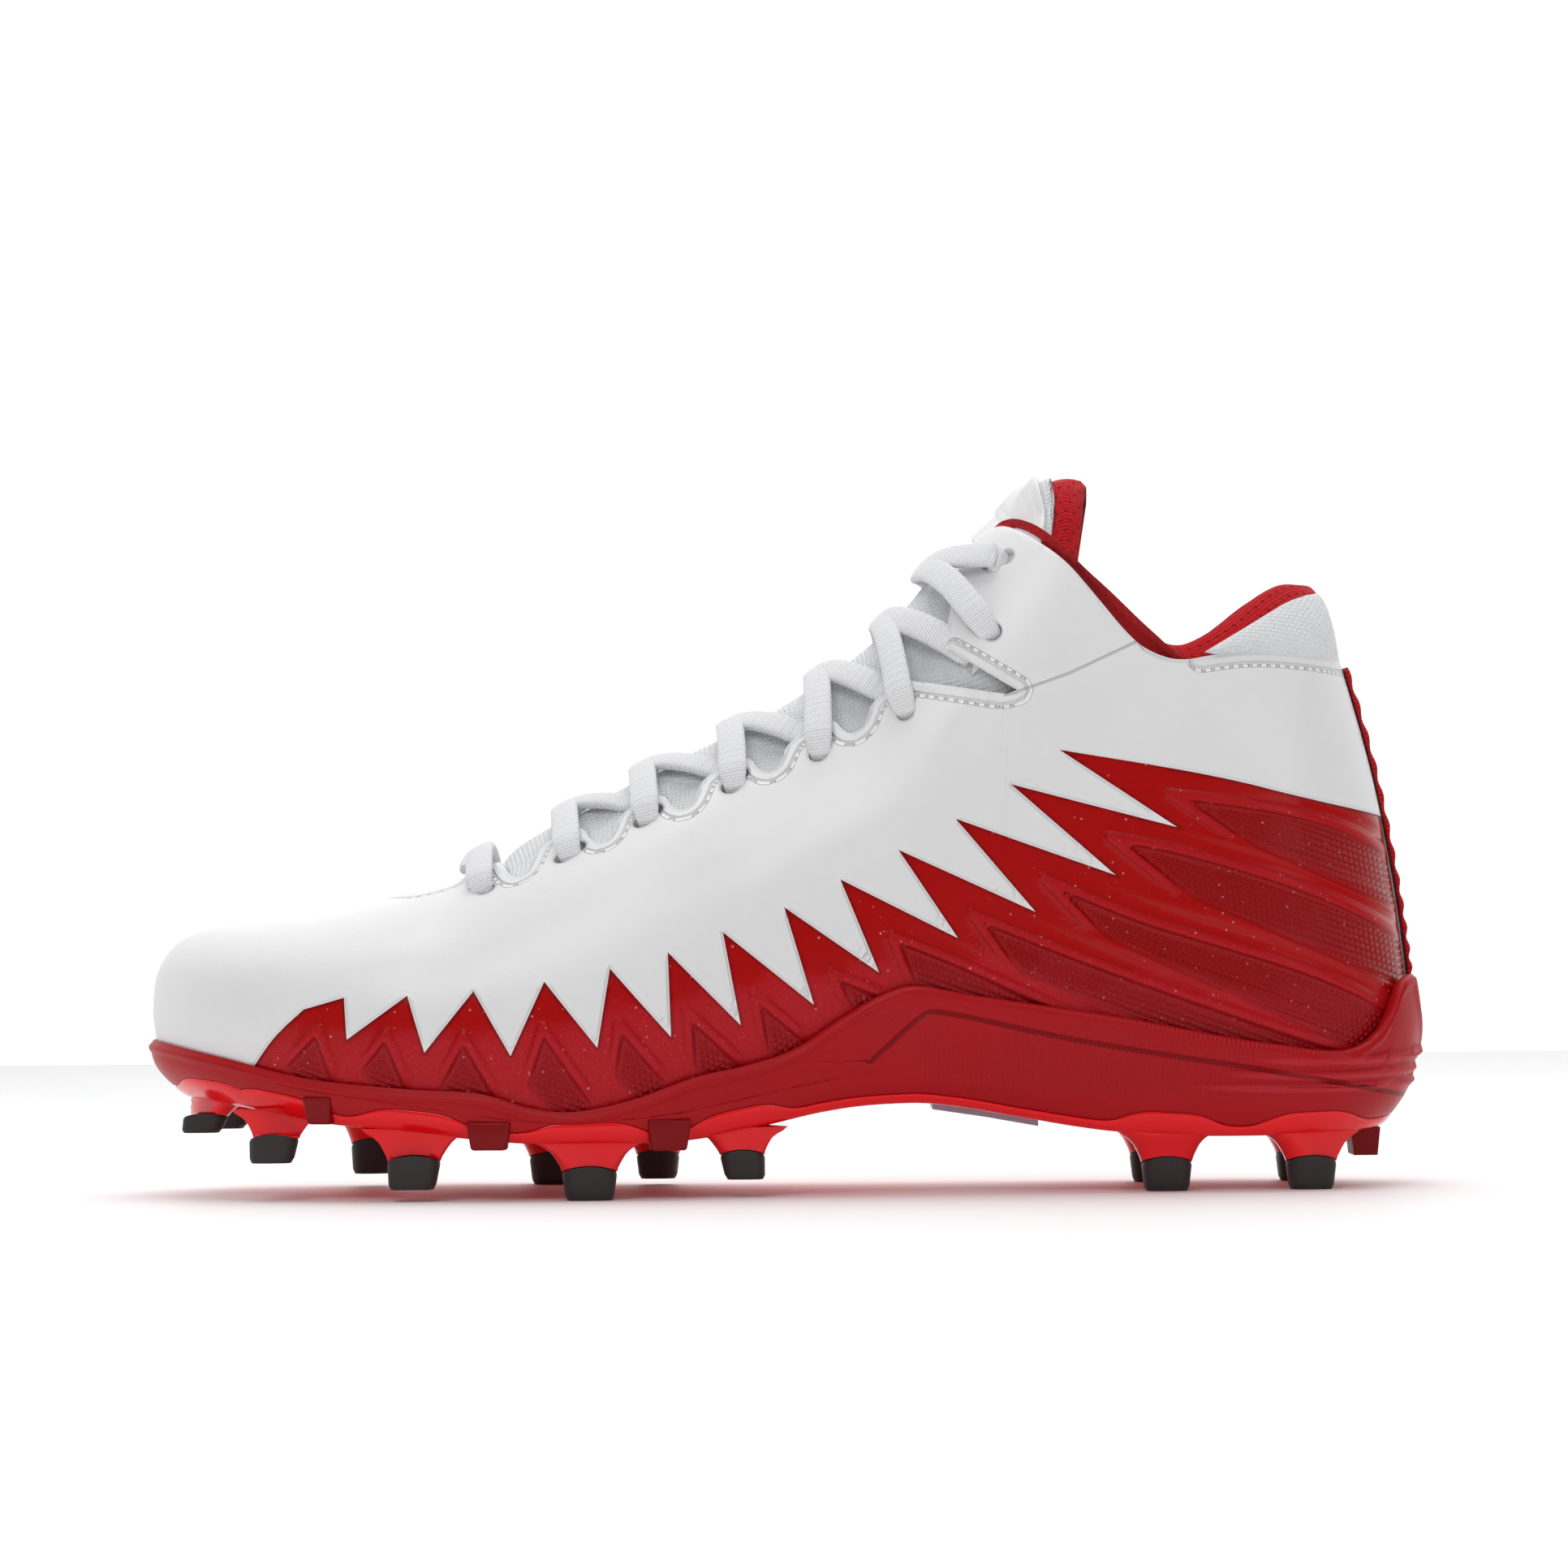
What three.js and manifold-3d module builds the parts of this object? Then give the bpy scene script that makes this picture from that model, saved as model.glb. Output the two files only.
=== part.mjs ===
// A mid-cut american football cleat for the left foot, standing empty on its studs.
// X runs from the toe (-) to the heel (+), -Y is the outer side, Z is up from the floor, in millimetres.
// The upper, its overlays, the lining, the tongue, the laces and the sole all follow one last:
// a set of sections that fan from the toe, over the instep and down the back of the heel.
import * as THREE from "three";
import { mergeVertices } from "three/addons/utils/BufferGeometryUtils.js";
import Module from "manifold-3d";

const wasm = await Module();
wasm.setup();

// Driving sizes
const LENGTH = 305; // toe to heel over the sole
const HEIGHT = 172; // floor to the top of the tongue
const BALL_WIDTH = 100; // upper at the ball of the foot
const HEEL_WIDTH = 68; // upper at the heel
const STUD_HEIGHT = 13; // floor to the plate under the heel
const TOE_SPRING = 10; // lift of the plate at the toe
const ARCH_RISE = 8.3; // lift of the plate under the arch
const PLATE = 3; // thickness of the outsole plate
const MIDSOLE = 8.6; // thickness of the midsole at the heel
const CUP_HEIGHT = 20; // climb of the midsole wall at the waist and heel
const WALL = 2.6; // upper
const SKIN = 0.7; // moulded side skin
const SKIN_SUNK = 0.4; // side skin below the face of the upper
const WING_STEP = 0.6; // ankle wing below the quarter
const LINING = 3.4; // padded collar lining
const TONGUE = 3; // front layer of the tongue
const TONGUE_PAD = 4.2; // knit back of the tongue
const TONGUE_CROWN = 1.5; // how far it swells out of the throat
const INSOLE = 3.8;
const TAPE = 1.2; // webbing down the heel
const TAPE_WIDTH = 9;
const TAPE_TOP = 69.4; // percent of the reach
const PATCH = 1.6; // pale plate under the arch
const PATCH_WIDTH = 24;
const PATCH_FROM = 61.4; // percent of the length
const PATCH_TO = 69.6;
const LACE_WIDTH = 7.4;
const LACE_THICK = 2.2;
const LACE_LIFT = 1; // of a taut lace over the eyestay and the tongue
const EYELET_WIDTH = 4.6;
const EYELET_LENGTH = 9;
const SCALLOP_DEPTH = 6.5; // notches between the eyelet tabs
const SCALLOP_WIDTH = 10;
const GAP = 0.3; // clearance between pieces that touch

// Heights of the last are shares of the space between the plate and the top of the tongue.
const BASE = STUD_HEIGHT + PLATE;
const REACH = HEIGHT - BASE;
const along = (percent) => LENGTH * (percent / 100 - 0.5);
const above = (percent) => BASE + (REACH * percent) / 100;

// Under the foot: the lift of the plate by place along the shoe, as shares of the toe spring and of the
// arch rise.
const PLATE_LINE = [
  { at: 0, spring: 1.1, arch: 0 },
  { at: 7, spring: 0.92, arch: 0 },
  { at: 14, spring: 0.54, arch: 0 },
  { at: 22, spring: 0.28, arch: 0 },
  { at: 30, spring: 0.04, arch: 0 },
  { at: 38, spring: 0, arch: 0 },
  { at: 43, spring: 0, arch: 0.09 },
  { at: 48, spring: 0, arch: 0.42 },
  { at: 53.5, spring: 0, arch: 0.84 },
  { at: 58, spring: 0, arch: 1 },
  { at: 62, spring: 0, arch: 0.95 },
  { at: 69.5, spring: 0, arch: 0.48 },
  { at: 75, spring: 0, arch: 0.16 },
  { at: 82, spring: 0, arch: 0 },
  { at: 94, spring: 0, arch: 0.04 },
  { at: 100, spring: 0, arch: 0.3 },
];

// The last from the side, a row for each section. foot and top: where its line starts on the feather edge
// and ends on the ridge, in percent of the length. seat: height over the plate, as a share of the midsole.
// crest: height of the ridge, in percent of the reach. belly: where along the line it is widest. round: 2
// is an ellipse, less leans inwards, more is square.
const PROFILE = [
  { foot: 0.6, seat: 0.9, top: 0.15, crest: 17.3, belly: 0.3, round: 2.4 },
  { foot: 1.1, seat: 0.9, top: 0.6, crest: 23.9, belly: 0.3, round: 2.4 },
  { foot: 2.6, seat: 0.86, top: 2.3, crest: 28.5, belly: 0.32, round: 2.5 },
  { foot: 5.4, seat: 0.77, top: 5.2, crest: 30.6, belly: 0.34, round: 2.6 },
  { foot: 10, seat: 0.62, top: 10.3, crest: 32, belly: 0.36, round: 2.6 },
  { foot: 16.2, seat: 0.52, top: 16.9, crest: 34.1, belly: 0.36, round: 2.4 },
  { foot: 23.1, seat: 0.4, top: 24.4, crest: 38.1, belly: 0.33, round: 2.1 },
  { foot: 30.3, seat: 0.3, top: 32.6, crest: 45.8, belly: 0.29, round: 2.1 },
  { foot: 37.5, seat: 0.36, top: 40.8, crest: 54, belly: 0.26, round: 2 },
  { foot: 45.4, seat: 0.56, top: 50, crest: 62.9, belly: 0.24, round: 1.95 },
  { foot: 53.3, seat: 0.55, top: 57.9, crest: 73.8, belly: 0.23, round: 2.1 },
  { foot: 61.1, seat: 0.54, top: 64.1, crest: 87.5, belly: 0.22, round: 3.2 },
  { foot: 69, seat: 0.78, top: 71.6, crest: 98.6, belly: 0.22, round: 4.2 },
  { foot: 75.6, seat: 1, top: 79.5, crest: 97.4, belly: 0.22, round: 3.4 },
  { foot: 80.8, seat: 1, top: 86.7, crest: 91, belly: 0.22, round: 2.6 },
  { foot: 84.8, seat: 1, top: 91.6, crest: 83, belly: 0.22, round: 2.2 },
  { foot: 88, seat: 1, top: 93.8, crest: 69.2, belly: 0.22, round: 2 },
  { foot: 91, seat: 1, top: 96, crest: 53.5, belly: 0.22, round: 2 },
  { foot: 93.6, seat: 1, top: 97.5, crest: 38.5, belly: 0.24, round: 2 },
  { foot: 95.9, seat: 1.02, top: 98.4, crest: 26.3, belly: 0.26, round: 2 },
  { foot: 97.4, seat: 1.1, top: 98.8, crest: 17.6, belly: 0.3, round: 2 },
  { foot: 98.1, seat: 1.25, top: 98.7, crest: 12.2, belly: 0.3, round: 2 },
];

// The last from above, a row for each of the same sections. axis, outer, inner: shift and half widths, as
// shares of half the width, which blends from the ball's (heel 0) to the heel's (heel 1). tuck: how far
// the feather edge draws in. cup: wall of the midsole.
const GIRTH = [
  { axis: 0.16, outer: 0, inner: 0, heel: 0, tuck: 0.06, cup: 1.6 },
  { axis: 0.16, outer: 0.22, inner: 0.22, heel: 0, tuck: 0.06, cup: 1.6 },
  { axis: 0.15, outer: 0.42, inner: 0.41, heel: 0, tuck: 0.06, cup: 1.6 },
  { axis: 0.13, outer: 0.61, inner: 0.59, heel: 0, tuck: 0.06, cup: 1.6 },
  { axis: 0.1, outer: 0.78, inner: 0.75, heel: 0, tuck: 0.06, cup: 1.6 },
  { axis: 0.06, outer: 0.91, inner: 0.88, heel: 0, tuck: 0.06, cup: 1.7 },
  { axis: 0.02, outer: 0.97, inner: 0.96, heel: 0, tuck: 0.06, cup: 1.8 },
  { axis: -0.02, outer: 0.98, inner: 0.94, heel: 0, tuck: 0.06, cup: 1.9 },
  { axis: -0.04, outer: 0.95, inner: 0.84, heel: 0, tuck: 0.07, cup: 2 },
  { axis: -0.04, outer: 0.93, inner: 0.82, heel: 0.25, tuck: 0.09, cup: 2.1 },
  { axis: -0.03, outer: 0.95, inner: 0.83, heel: 0.5, tuck: 0.11, cup: 2.2 },
  { axis: -0.02, outer: 0.99, inner: 0.87, heel: 0.75, tuck: 0.11, cup: 2.4 },
  { axis: -0.01, outer: 1.04, inner: 0.97, heel: 1, tuck: 0.1, cup: 2.6 },
  { axis: 0, outer: 1.03, inner: 0.99, heel: 1, tuck: 0.08, cup: 2.8 },
  { axis: 0, outer: 1.02, inner: 1, heel: 1, tuck: 0.07, cup: 3 },
  { axis: 0, outer: 1, inner: 1, heel: 1, tuck: 0.06, cup: 3.1 },
  { axis: 0, outer: 0.96, inner: 0.96, heel: 1, tuck: 0.06, cup: 3.2 },
  { axis: 0, outer: 0.88, inner: 0.88, heel: 1, tuck: 0.06, cup: 3.2 },
  { axis: 0, outer: 0.75, inner: 0.75, heel: 1, tuck: 0.06, cup: 3.2 },
  { axis: 0, outer: 0.57, inner: 0.57, heel: 1, tuck: 0.06, cup: 3.2 },
  { axis: 0, outer: 0.35, inner: 0.35, heel: 1, tuck: 0.06, cup: 3.2 },
  { axis: 0, outer: 0, inner: 0, heel: 1, tuck: 0.06, cup: 3.2 },
];
const LAST = PROFILE.map((row, i) => ({ ...row, ...GIRTH[i] }));
const LAST_ROW = LAST.length - 1;
const END_ROWS = 2; // rows at either end that get a station between them too
const HALF_STEPS = 7; // steps from the feather edge to the ridge
const BELLY_STEP = 0.25; // share of those steps below the belly

// How the sole narrows below the feather edge, by place along the shoe.
const UNDERCUT = [
  { at: 0, inset: 9 },
  { at: 12, inset: 5 },
  { at: 30, inset: 3 },
  { at: 60, inset: 4.5 },
  { at: 85, inset: 4.5 },
  { at: 100, inset: 8 },
];
const SIDE_RINGS = [0, 0.16, 0.24, 0.32, 0.42, 0.72, 1]; // depths of the side wall's rings
const RIB_RINGS = [1, 3]; // the rings that stand proud as ribs round the heel
const RIB = 0.7;
const RIB_FROM = 66; // percent of the length where the ribs start to fade in
const LINE_STEP = 6; // of the lines worked out along the sole, in percent of the length
const CUP_STEP = 5;

// Catmull-Rom through equally spaced values.
function smooth(a, b, c, d, t) {
  const square = 2 * a - 5 * b + 4 * c - d;
  const cube = 3 * b - a - 3 * c + d;
  return 0.5 * (2 * b + (c - a) * t + square * t * t + cube * t * t * t);
}

// A column of a table sorted by at, eased through its rows.
function lookUp(table, column, at) {
  let k = 0;
  while (k < table.length - 2 && table[k + 1].at < at) k += 1;
  const row = (i) => table[Math.min(Math.max(i, 0), table.length - 1)];
  const t = THREE.MathUtils.clamp((at - row(k).at) / (row(k + 1).at - row(k).at), 0, 1);
  return smooth(row(k - 1)[column], row(k)[column], row(k + 1)[column], row(k + 2)[column], t);
}

const percentAt = (x) => (x / LENGTH + 0.5) * 100;
function lift(x) {
  const at = percentAt(x);
  return TOE_SPRING * lookUp(PLATE_LINE, "spring", at) + ARCH_RISE * lookUp(PLATE_LINE, "arch", at);
}

// A column of the last at station u. Past the toe and heel rows the widths carry on mirrored, which rounds
// the ends.
function lastColumn(column, u) {
  const flips = column === "outer" || column === "inner";
  const value = (i) => {
    if (i < 0) return (flips ? -1 : 1) * LAST[-i][column];
    if (i > LAST_ROW) return (flips ? -1 : 1) * LAST[2 * LAST_ROW - i][column];
    return LAST[i][column];
  };
  const k = Math.min(Math.floor(u), LAST_ROW - 1);
  return smooth(value(k - 1), value(k), value(k + 1), value(k + 2), u - k);
}

// Everything that is constant along one section.
const sectionCache = new Map();
function section(u) {
  const key = Math.round(u * 1e6);
  if (sectionCache.has(key)) return sectionCache.get(key);
  const get = (column) => lastColumn(column, u);
  const half = (BALL_WIDTH * (1 - get("heel")) + HEEL_WIDTH * get("heel")) / 2;
  const footX = along(get("foot"));
  const made = {
    footX,
    footZ: BASE + lift(footX) + MIDSOLE * get("seat"),
    topX: along(get("top")),
    topZ: above(get("crest")),
    axis: half * get("axis"),
    outer: half * get("outer"),
    inner: half * get("inner"),
    belly: get("belly"),
    round: get("round"),
    tuck: get("tuck"),
    cup: get("cup"),
  };
  sectionCache.set(key, made);
  return made;
}

// A point of the last. v runs from -1, the outer feather edge, over 0, the ridge, to 1, the inner feather
// edge.
function lastPoint(u, v) {
  const s = section(u);
  const step = 1 - Math.abs(v);
  let share;
  let swell;
  if (step < BELLY_STEP) {
    const low = step / BELLY_STEP;
    share = s.belly * low;
    swell = 1 - s.tuck * (1 - Math.sin((low * Math.PI) / 2));
  } else {
    const angle = (((step - BELLY_STEP) / (1 - BELLY_STEP)) * Math.PI) / 2;
    share = s.belly + (1 - s.belly) * Math.sin(angle) ** (2 / s.round);
    swell = Math.max(Math.cos(angle), 0);
  }
  const y = s.axis + (v < 0 ? -s.outer : s.inner) * swell;
  const x = s.footX + (s.topX - s.footX) * share;
  return new THREE.Vector3(x, y, s.footZ + (s.topZ - s.footZ) * share);
}

// The outward direction of the last at a point. At the toe and heel rows it lies in the middle plane.
function lastNormal(u, v) {
  const du = 0.02;
  if (u < du || u > LAST_ROW - du) {
    const s = section(u);
    const out = u < du ? -1 : 1;
    return new THREE.Vector3(out * (s.topZ - s.footZ), 0, -out * (s.topX - s.footX)).normalize();
  }
  const dv = 0.012;
  const u0 = Math.max(u - du, 0);
  const u1 = Math.min(u + du, LAST_ROW);
  const v0 = Math.max(v - dv, -1);
  const v1 = Math.min(v + dv, 1);
  const alongU = lastPoint(u1, v).sub(lastPoint(u0, v));
  const overV = lastPoint(u, v1).sub(lastPoint(u, v0));
  return alongU.cross(overV).normalize();
}

const offsetPoint = (u, v, out) => lastPoint(u, v).addScaledVector(lastNormal(u, v), out);

// The station and step whose point lies at x, z in the side view. side is -1 for the outer side, 1 for the
// inner.
function locate(x, z, side) {
  const across = (u) => {
    const s = section(u);
    return (s.topX - s.footX) * (z - s.footZ) - (s.topZ - s.footZ) * (x - s.footX);
  };
  let low = 0;
  let high = LAST_ROW;
  for (let i = 0; i < 40; i += 1) {
    const middle = (low + high) / 2;
    if (across(middle) < 0) low = middle;
    else high = middle;
  }
  const s = section(low);
  const share = (z - s.footZ) / (s.topZ - s.footZ);
  let step;
  if (share < s.belly) step = (Math.max(share, 0) / s.belly) * BELLY_STEP;
  else {
    const sine = Math.min((share - s.belly) / (1 - s.belly), 1) ** (s.round / 2);
    step = BELLY_STEP + (1 - BELLY_STEP) * (Math.asin(sine) / (Math.PI / 2));
  }
  return { u: low, v: side * (1 - Math.min(step, 1)) };
}

// A three.js geometry as a solid for cutting and joining.
function solidFrom(geometry) {
  const bare = new THREE.BufferGeometry().setAttribute("position", geometry.getAttribute("position"));
  if (geometry.index) bare.setIndex(geometry.index);
  const merged = mergeVertices(bare, 1e-4);
  return new wasm.Manifold(
    new wasm.Mesh({
      numProp: 3,
      vertProperties: new Float32Array(merged.attributes.position.array),
      triVerts: new Uint32Array(merged.index.array),
    }),
  );
}

// A closed surface from rings of points, each ring a loop of equal length, with flat fans or strips at
// both ends.
function gridSolid(rings, closeEnds) {
  const width = rings[0].length;
  const positions = rings.flat().flatMap((p) => [p.x, p.y, p.z]);
  const index = [];
  for (let i = 0; i + 1 < rings.length; i += 1)
    for (let j = 0; j < width; j += 1) {
      const next = (j + 1) % width;
      const a = i * width + j;
      const b = i * width + next;
      const falling = rings[i][j].distanceTo(rings[i + 1][next]);
      const rising = rings[i][next].distanceTo(rings[i + 1][j]);
      const leans = falling < rising - 1e-3;
      if (leans) index.push(a, b + width, b, a, a + width, b + width);
      else index.push(a, a + width, b, b, a + width, b + width);
    }
  if (closeEnds) {
    const last = (rings.length - 1) * width;
    for (let j = 1; j + 1 < width; j += 1) {
      index.push(0, j, j + 1);
      index.push(last, last + j + 1, last + j);
    }
  }
  const geometry = new THREE.BufferGeometry();
  geometry.setAttribute("position", new THREE.BufferAttribute(new Float32Array(positions), 3));
  geometry.setIndex(index);
  return solidFrom(dropFlatTriangles(geometry));
}

// Leaves out triangles whose corners coincide, as they do where the sections close at the toe and heel.
function dropFlatTriangles(geometry) {
  const merged = mergeVertices(geometry, 1e-4);
  const from = merged.index.array;
  const kept = [];
  for (let i = 0; i < from.length; i += 3)
    if (from[i] !== from[i + 1] && from[i + 1] !== from[i + 2] && from[i] !== from[i + 2])
      kept.push(from[i], from[i + 1], from[i + 2]);
  return merged.setIndex(kept);
}

// The direction in which the feather edge faces, seen from above.
function featherFacing(u, side) {
  const du = 0.02;
  const a = lastPoint(Math.max(u - du, 0), side);
  const b = lastPoint(Math.min(u + du, LAST_ROW), side);
  const facing = new THREE.Vector3(-(b.y - a.y) * side, (b.x - a.x) * side, 0);
  if (u < du) facing.set(-1, 0, 0);
  if (u > LAST_ROW - du) facing.set(1, 0, 0);
  return facing.normalize();
}

const nearEnd = (i) => i < END_ROWS || (i >= LAST_ROW - END_ROWS && i < LAST_ROW);
const stations = LAST.flatMap((_, i) => (nearEnd(i) ? [i, i + 0.5] : [i]));
const steps = Array.from({ length: 2 * HALF_STEPS + 1 }, (_, j) => j / HALF_STEPS - 1);

// The closed last, grown or shrunk by out, with its feather edge carried down by drop.
function grown(out, drop = 0) {
  const rings = stations.map((u) => {
    const ring = steps.map((v) => offsetPoint(u, v, out));
    const first = ring[0].clone().setZ(section(u).footZ - drop);
    const final = ring[ring.length - 1].clone().setZ(section(u).footZ - drop);
    return [first, ...ring, final];
  });
  return gridSolid(rings, true);
}

// The closed last grown by the midsole's wall, carried down to the underside of the plate with its ribs.
function soleSolid() {
  const rings = stations.map((u) => {
    const s = section(u);
    const ring = steps.map((v) => offsetPoint(u, v, s.cup));
    const ribs = RIB * THREE.MathUtils.smoothstep(percentAt(s.footX), RIB_FROM, 100);
    const wall = (side) =>
      SIDE_RINGS.map((depth, k) => {
        const out = s.cup - lookUp(UNDERCUT, "inset", percentAt(s.footX)) * depth ** 2;
        const point = lastPoint(u, side).addScaledVector(
          featherFacing(u, side),
          out + (RIB_RINGS.includes(k) ? ribs : 0),
        );
        const floor = STUD_HEIGHT + lift(point.x);
        return point.setZ(s.footZ + (floor - s.footZ) * depth);
      });
    return [...wall(-1).reverse().slice(0, -1), ...ring, ...wall(1).slice(1)];
  });
  return gridSolid(rings, true);
}

// The tongue, a row for each of its rings: where on the last, and its half width in steps of the last.
const TONGUE_ROWS = [
  { station: 5.1, half: 0.2 },
  { station: 5.7, half: 0.27 },
  { station: 6.3, half: 0.33 },
  { station: 7.1, half: 0.37 },
  { station: 8, half: 0.38 },
  { station: 9, half: 0.39 },
  { station: 9.6, half: 0.43 },
  { station: 10, half: 0.48 },
  { station: 10.4, half: 0.56 },
  { station: 10.78, half: 0.6 },
  { station: 11, half: 0.62 },
  { station: 11.4, half: 0.62 },
  { station: 11.8, half: 0.6 },
  { station: 12.15, half: 0.54 },
];
const TONGUE_FACE = -WALL - 4 * GAP; // its edges lie under the wall
const THROAT_REACH = [-0.25, -0.12, 0, 0.12, 0.25]; // stations looked at for the width of the throat
const THROAT_MARGIN = 0.04; // clearance of the swell from the edge of the throat, in steps of the last

// The lace, a row for each crossing over the throat: its eyelet, counted from the toe, the station of its
// crest, and the station and step where it reaches the other side. dips: whether it comes down onto the
// eyestay there.
const LACES = [
  { name: "lace_bar_toe", eyelet: 0, crest: 6.3, endStation: 6.32, endStep: 0.26, dips: 1, bar: true },
  { name: "lace_cross_1", eyelet: 1, crest: 7.1, endStation: 7.55, endStep: 0.2, dips: 0.4 },
  { name: "lace_cross_2", eyelet: 2, crest: 7.85, endStation: 8.32, endStep: 0.2, dips: 0.4 },
  { name: "lace_cross_3", eyelet: 3, crest: 8.6, endStation: 9.05, endStep: 0.2, dips: 0.4 },
  { name: "lace_cross_4", eyelet: 4, crest: 9.4, endStation: 9.95, endStep: 0.24, dips: 0.4 },
  { name: "lace_cross_5", eyelet: 5, crest: 10.1, endStation: 10.75, endStep: 0.3, dips: 0.4 },
  { name: "lace_cross_6", eyelet: 6, crest: 10.65, endStation: 11.36, endStep: 0.26, dips: 1 },
];
const LACE_SHARES = [0, 0.32, 0.66, 1]; // of the way from the crest to either end

// Side view outlines pushed across the shoe, from one y to another.
function sidePrism(outline, fromY, toY) {
  const shape = new THREE.Shape(outline.map(([x, z]) => new THREE.Vector2(x, z)));
  const geometry = new THREE.ExtrudeGeometry(shape, { depth: toY - fromY, bevelEnabled: false });
  geometry.rotateX(Math.PI / 2).translate(0, toY, 0);
  return solidFrom(geometry);
}

const REACH_Y = BALL_WIDTH; // clear of the shoe on either side
const REACH_X = LENGTH;
const REACH_Z = HEIGHT * 1.5;
const bothSides = (outline) => sidePrism(outline, -REACH_Y, REACH_Y);

// The side view outline from a line up or down to a height, and what lies above or below the line.
const outlineTo = (line, z) => [
  ...line,
  [REACH_X, line[line.length - 1][1]],
  [REACH_X, z],
  [-REACH_X, z],
  [-REACH_X, line[0][1]],
];
const aboveLine = (line) => bothSides(outlineTo(line, REACH_Z));
const belowLine = (line) => bothSides(outlineTo(line, -REACH_Z));
const raised = (line, by) => line.map(([x, z]) => [x, z + by]);
const pointsOf = (rows) => rows.map((row) => [along(row.at), above(row.up)]);

// Eyelets of one side, from the toe, in percent of the length and of the reach, with the tilt of their slot.
const EYELETS = [
  { at: 26.8, up: 36.6, tilt: -60 },
  { at: 33.6, up: 41.6, tilt: 62 },
  { at: 39.6, up: 47, tilt: 70 },
  { at: 46.3, up: 52.2, tilt: 74 },
  { at: 52.9, up: 57.2, tilt: 86 },
  { at: 59.4, up: 63.4, tilt: 105 },
  { at: 65.6, up: 75, tilt: 140 },
  { at: 66.6, up: 85.4, tilt: 175 },
];
const LOWER_EYELETS = 6; // the rest are in the ankle wing

// The edge of the eyestay, without its scallops, from the toe end of the throat to the ankle notch.
const EYESTAY = [
  { at: 20.7, up: 35.2 },
  { at: 22.6, up: 35.9 },
  { at: 24.5, up: 36.9 },
  { at: 25.8, up: 39.1 },
  { at: 27, up: 40 },
  { at: 33, up: 44.6 },
  { at: 39.6, up: 49.6 },
  { at: 45.6, up: 54.6 },
  { at: 52.4, up: 60.1 },
  { at: 56.2, up: 63.8 },
  { at: 58.6, up: 66.7 },
  { at: 60, up: 67.3 },
];
// A notch between two eyelets, across its width and down its depth: it falls gently and climbs steeply.
const SCALLOP = [
  { side: -0.5, deep: 0.05 },
  { side: -0.3, deep: 0.68 },
  { side: -0.05, deep: 1 },
  { side: 0.25, deep: 0.88 },
  { side: 0.4, deep: 0.1 },
];
const SCALLOP_PLACE = 0.42; // where it lies from one eyelet to the next
const NOTCH_TIP = [
  { at: 67.2, up: 64.6 },
  { at: 68, up: 65.2 },
];
const WING_FRONT = [
  { at: 62.5, up: 71.8 },
  { at: 62.7, up: 74.2 },
  { at: 63.7, up: 84 },
  { at: 64.6, up: 87.4 },
  { at: 66, up: 90 },
  { at: 67.4, up: 91 },
];
const COLLAR = [
  { at: 70.2, up: 87.4 },
  { at: 72, up: 84.6 },
  { at: 73.6, up: 80.8 },
  { at: 77, up: 72.4 },
  { at: 78.9, up: 70.2 },
  { at: 80.8, up: 69.4 },
  { at: 83.3, up: 70.4 },
  { at: 87, up: 71 },
  { at: 92.7, up: 69.8 },
  { at: 96, up: 69.4 },
];
// The top of the padded roll, from the front of the wing to the back of the heel.
const ROLL_TOP = [
  { at: 67.6, up: 91.8 },
  { at: 70.8, up: 88 },
  { at: 72.4, up: 85.4 },
  { at: 74.5, up: 82 },
  { at: 77, up: 77 },
  { at: 78.9, up: 73 },
  { at: 80.5, up: 72 },
  { at: 82, up: 72.9 },
  { at: 84.5, up: 75.9 },
  { at: 87, up: 80.1 },
  { at: 88.9, up: 82.2 },
  { at: 90.1, up: 82.4 },
  { at: 96, up: 81.6 },
];
const ROLL_FOOT = [
  { at: 82.6, up: 70.8 },
  { at: 87, up: 75.4 },
  { at: 90.9, up: 79.6 },
  { at: 96, up: 79.4 },
];
const LINING_FOOT = [
  { at: 60, up: 62 },
  { at: 72, up: 56 },
  { at: 84, up: 50 },
  { at: 100, up: 48 },
];
const WING_SEAM = [
  { at: 50, up: 64.9 },
  { at: 68, up: 64.9 },
  { at: 72, up: 67.6 },
  { at: 76.7, up: 71.8 },
  { at: 80, up: 75 },
  { at: 96, up: 120 },
];

// The saw-toothed edge of the side skin, a row for each tooth: its point, and the notch behind it.
const TEETH = [
  { peakAt: 16.4, peakUp: 20.1, notchAt: 16.6, notchUp: 13.8 },
  { peakAt: 21.3, peakUp: 20.3, notchAt: 22.6, notchUp: 11.8 },
  { peakAt: 26.4, peakUp: 20.9, notchAt: 29.2, notchUp: 11.2 },
  { peakAt: 31.8, peakUp: 22.2, notchAt: 35.8, notchUp: 12.3 },
  { peakAt: 36.8, peakUp: 24, notchAt: 41.4, notchUp: 13.7 },
  { peakAt: 41.2, peakUp: 26.3, notchAt: 46.7, notchUp: 15.3 },
  { peakAt: 45.4, peakUp: 29.2, notchAt: 52.3, notchUp: 18.2 },
  { peakAt: 50.1, peakUp: 32.8, notchAt: 57.3, notchUp: 22.9 },
  { peakAt: 54.4, peakUp: 36.9, notchAt: 63.4, notchUp: 27.9 },
  { peakAt: 58.9, peakUp: 41.2, notchAt: 69.4, notchUp: 31.7 },
  { peakAt: 63.3, peakUp: 45.8, notchAt: 75.6, notchUp: 37.1 },
  { peakAt: 67.6, peakUp: 50.9, notchAt: 80.4, notchUp: 44.2 },
];
const SKIN_START = [
  { at: 8.6, up: 8 },
  { at: 10.8, up: 14.2 },
  { at: 13.3, up: 18.4 },
];
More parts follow.
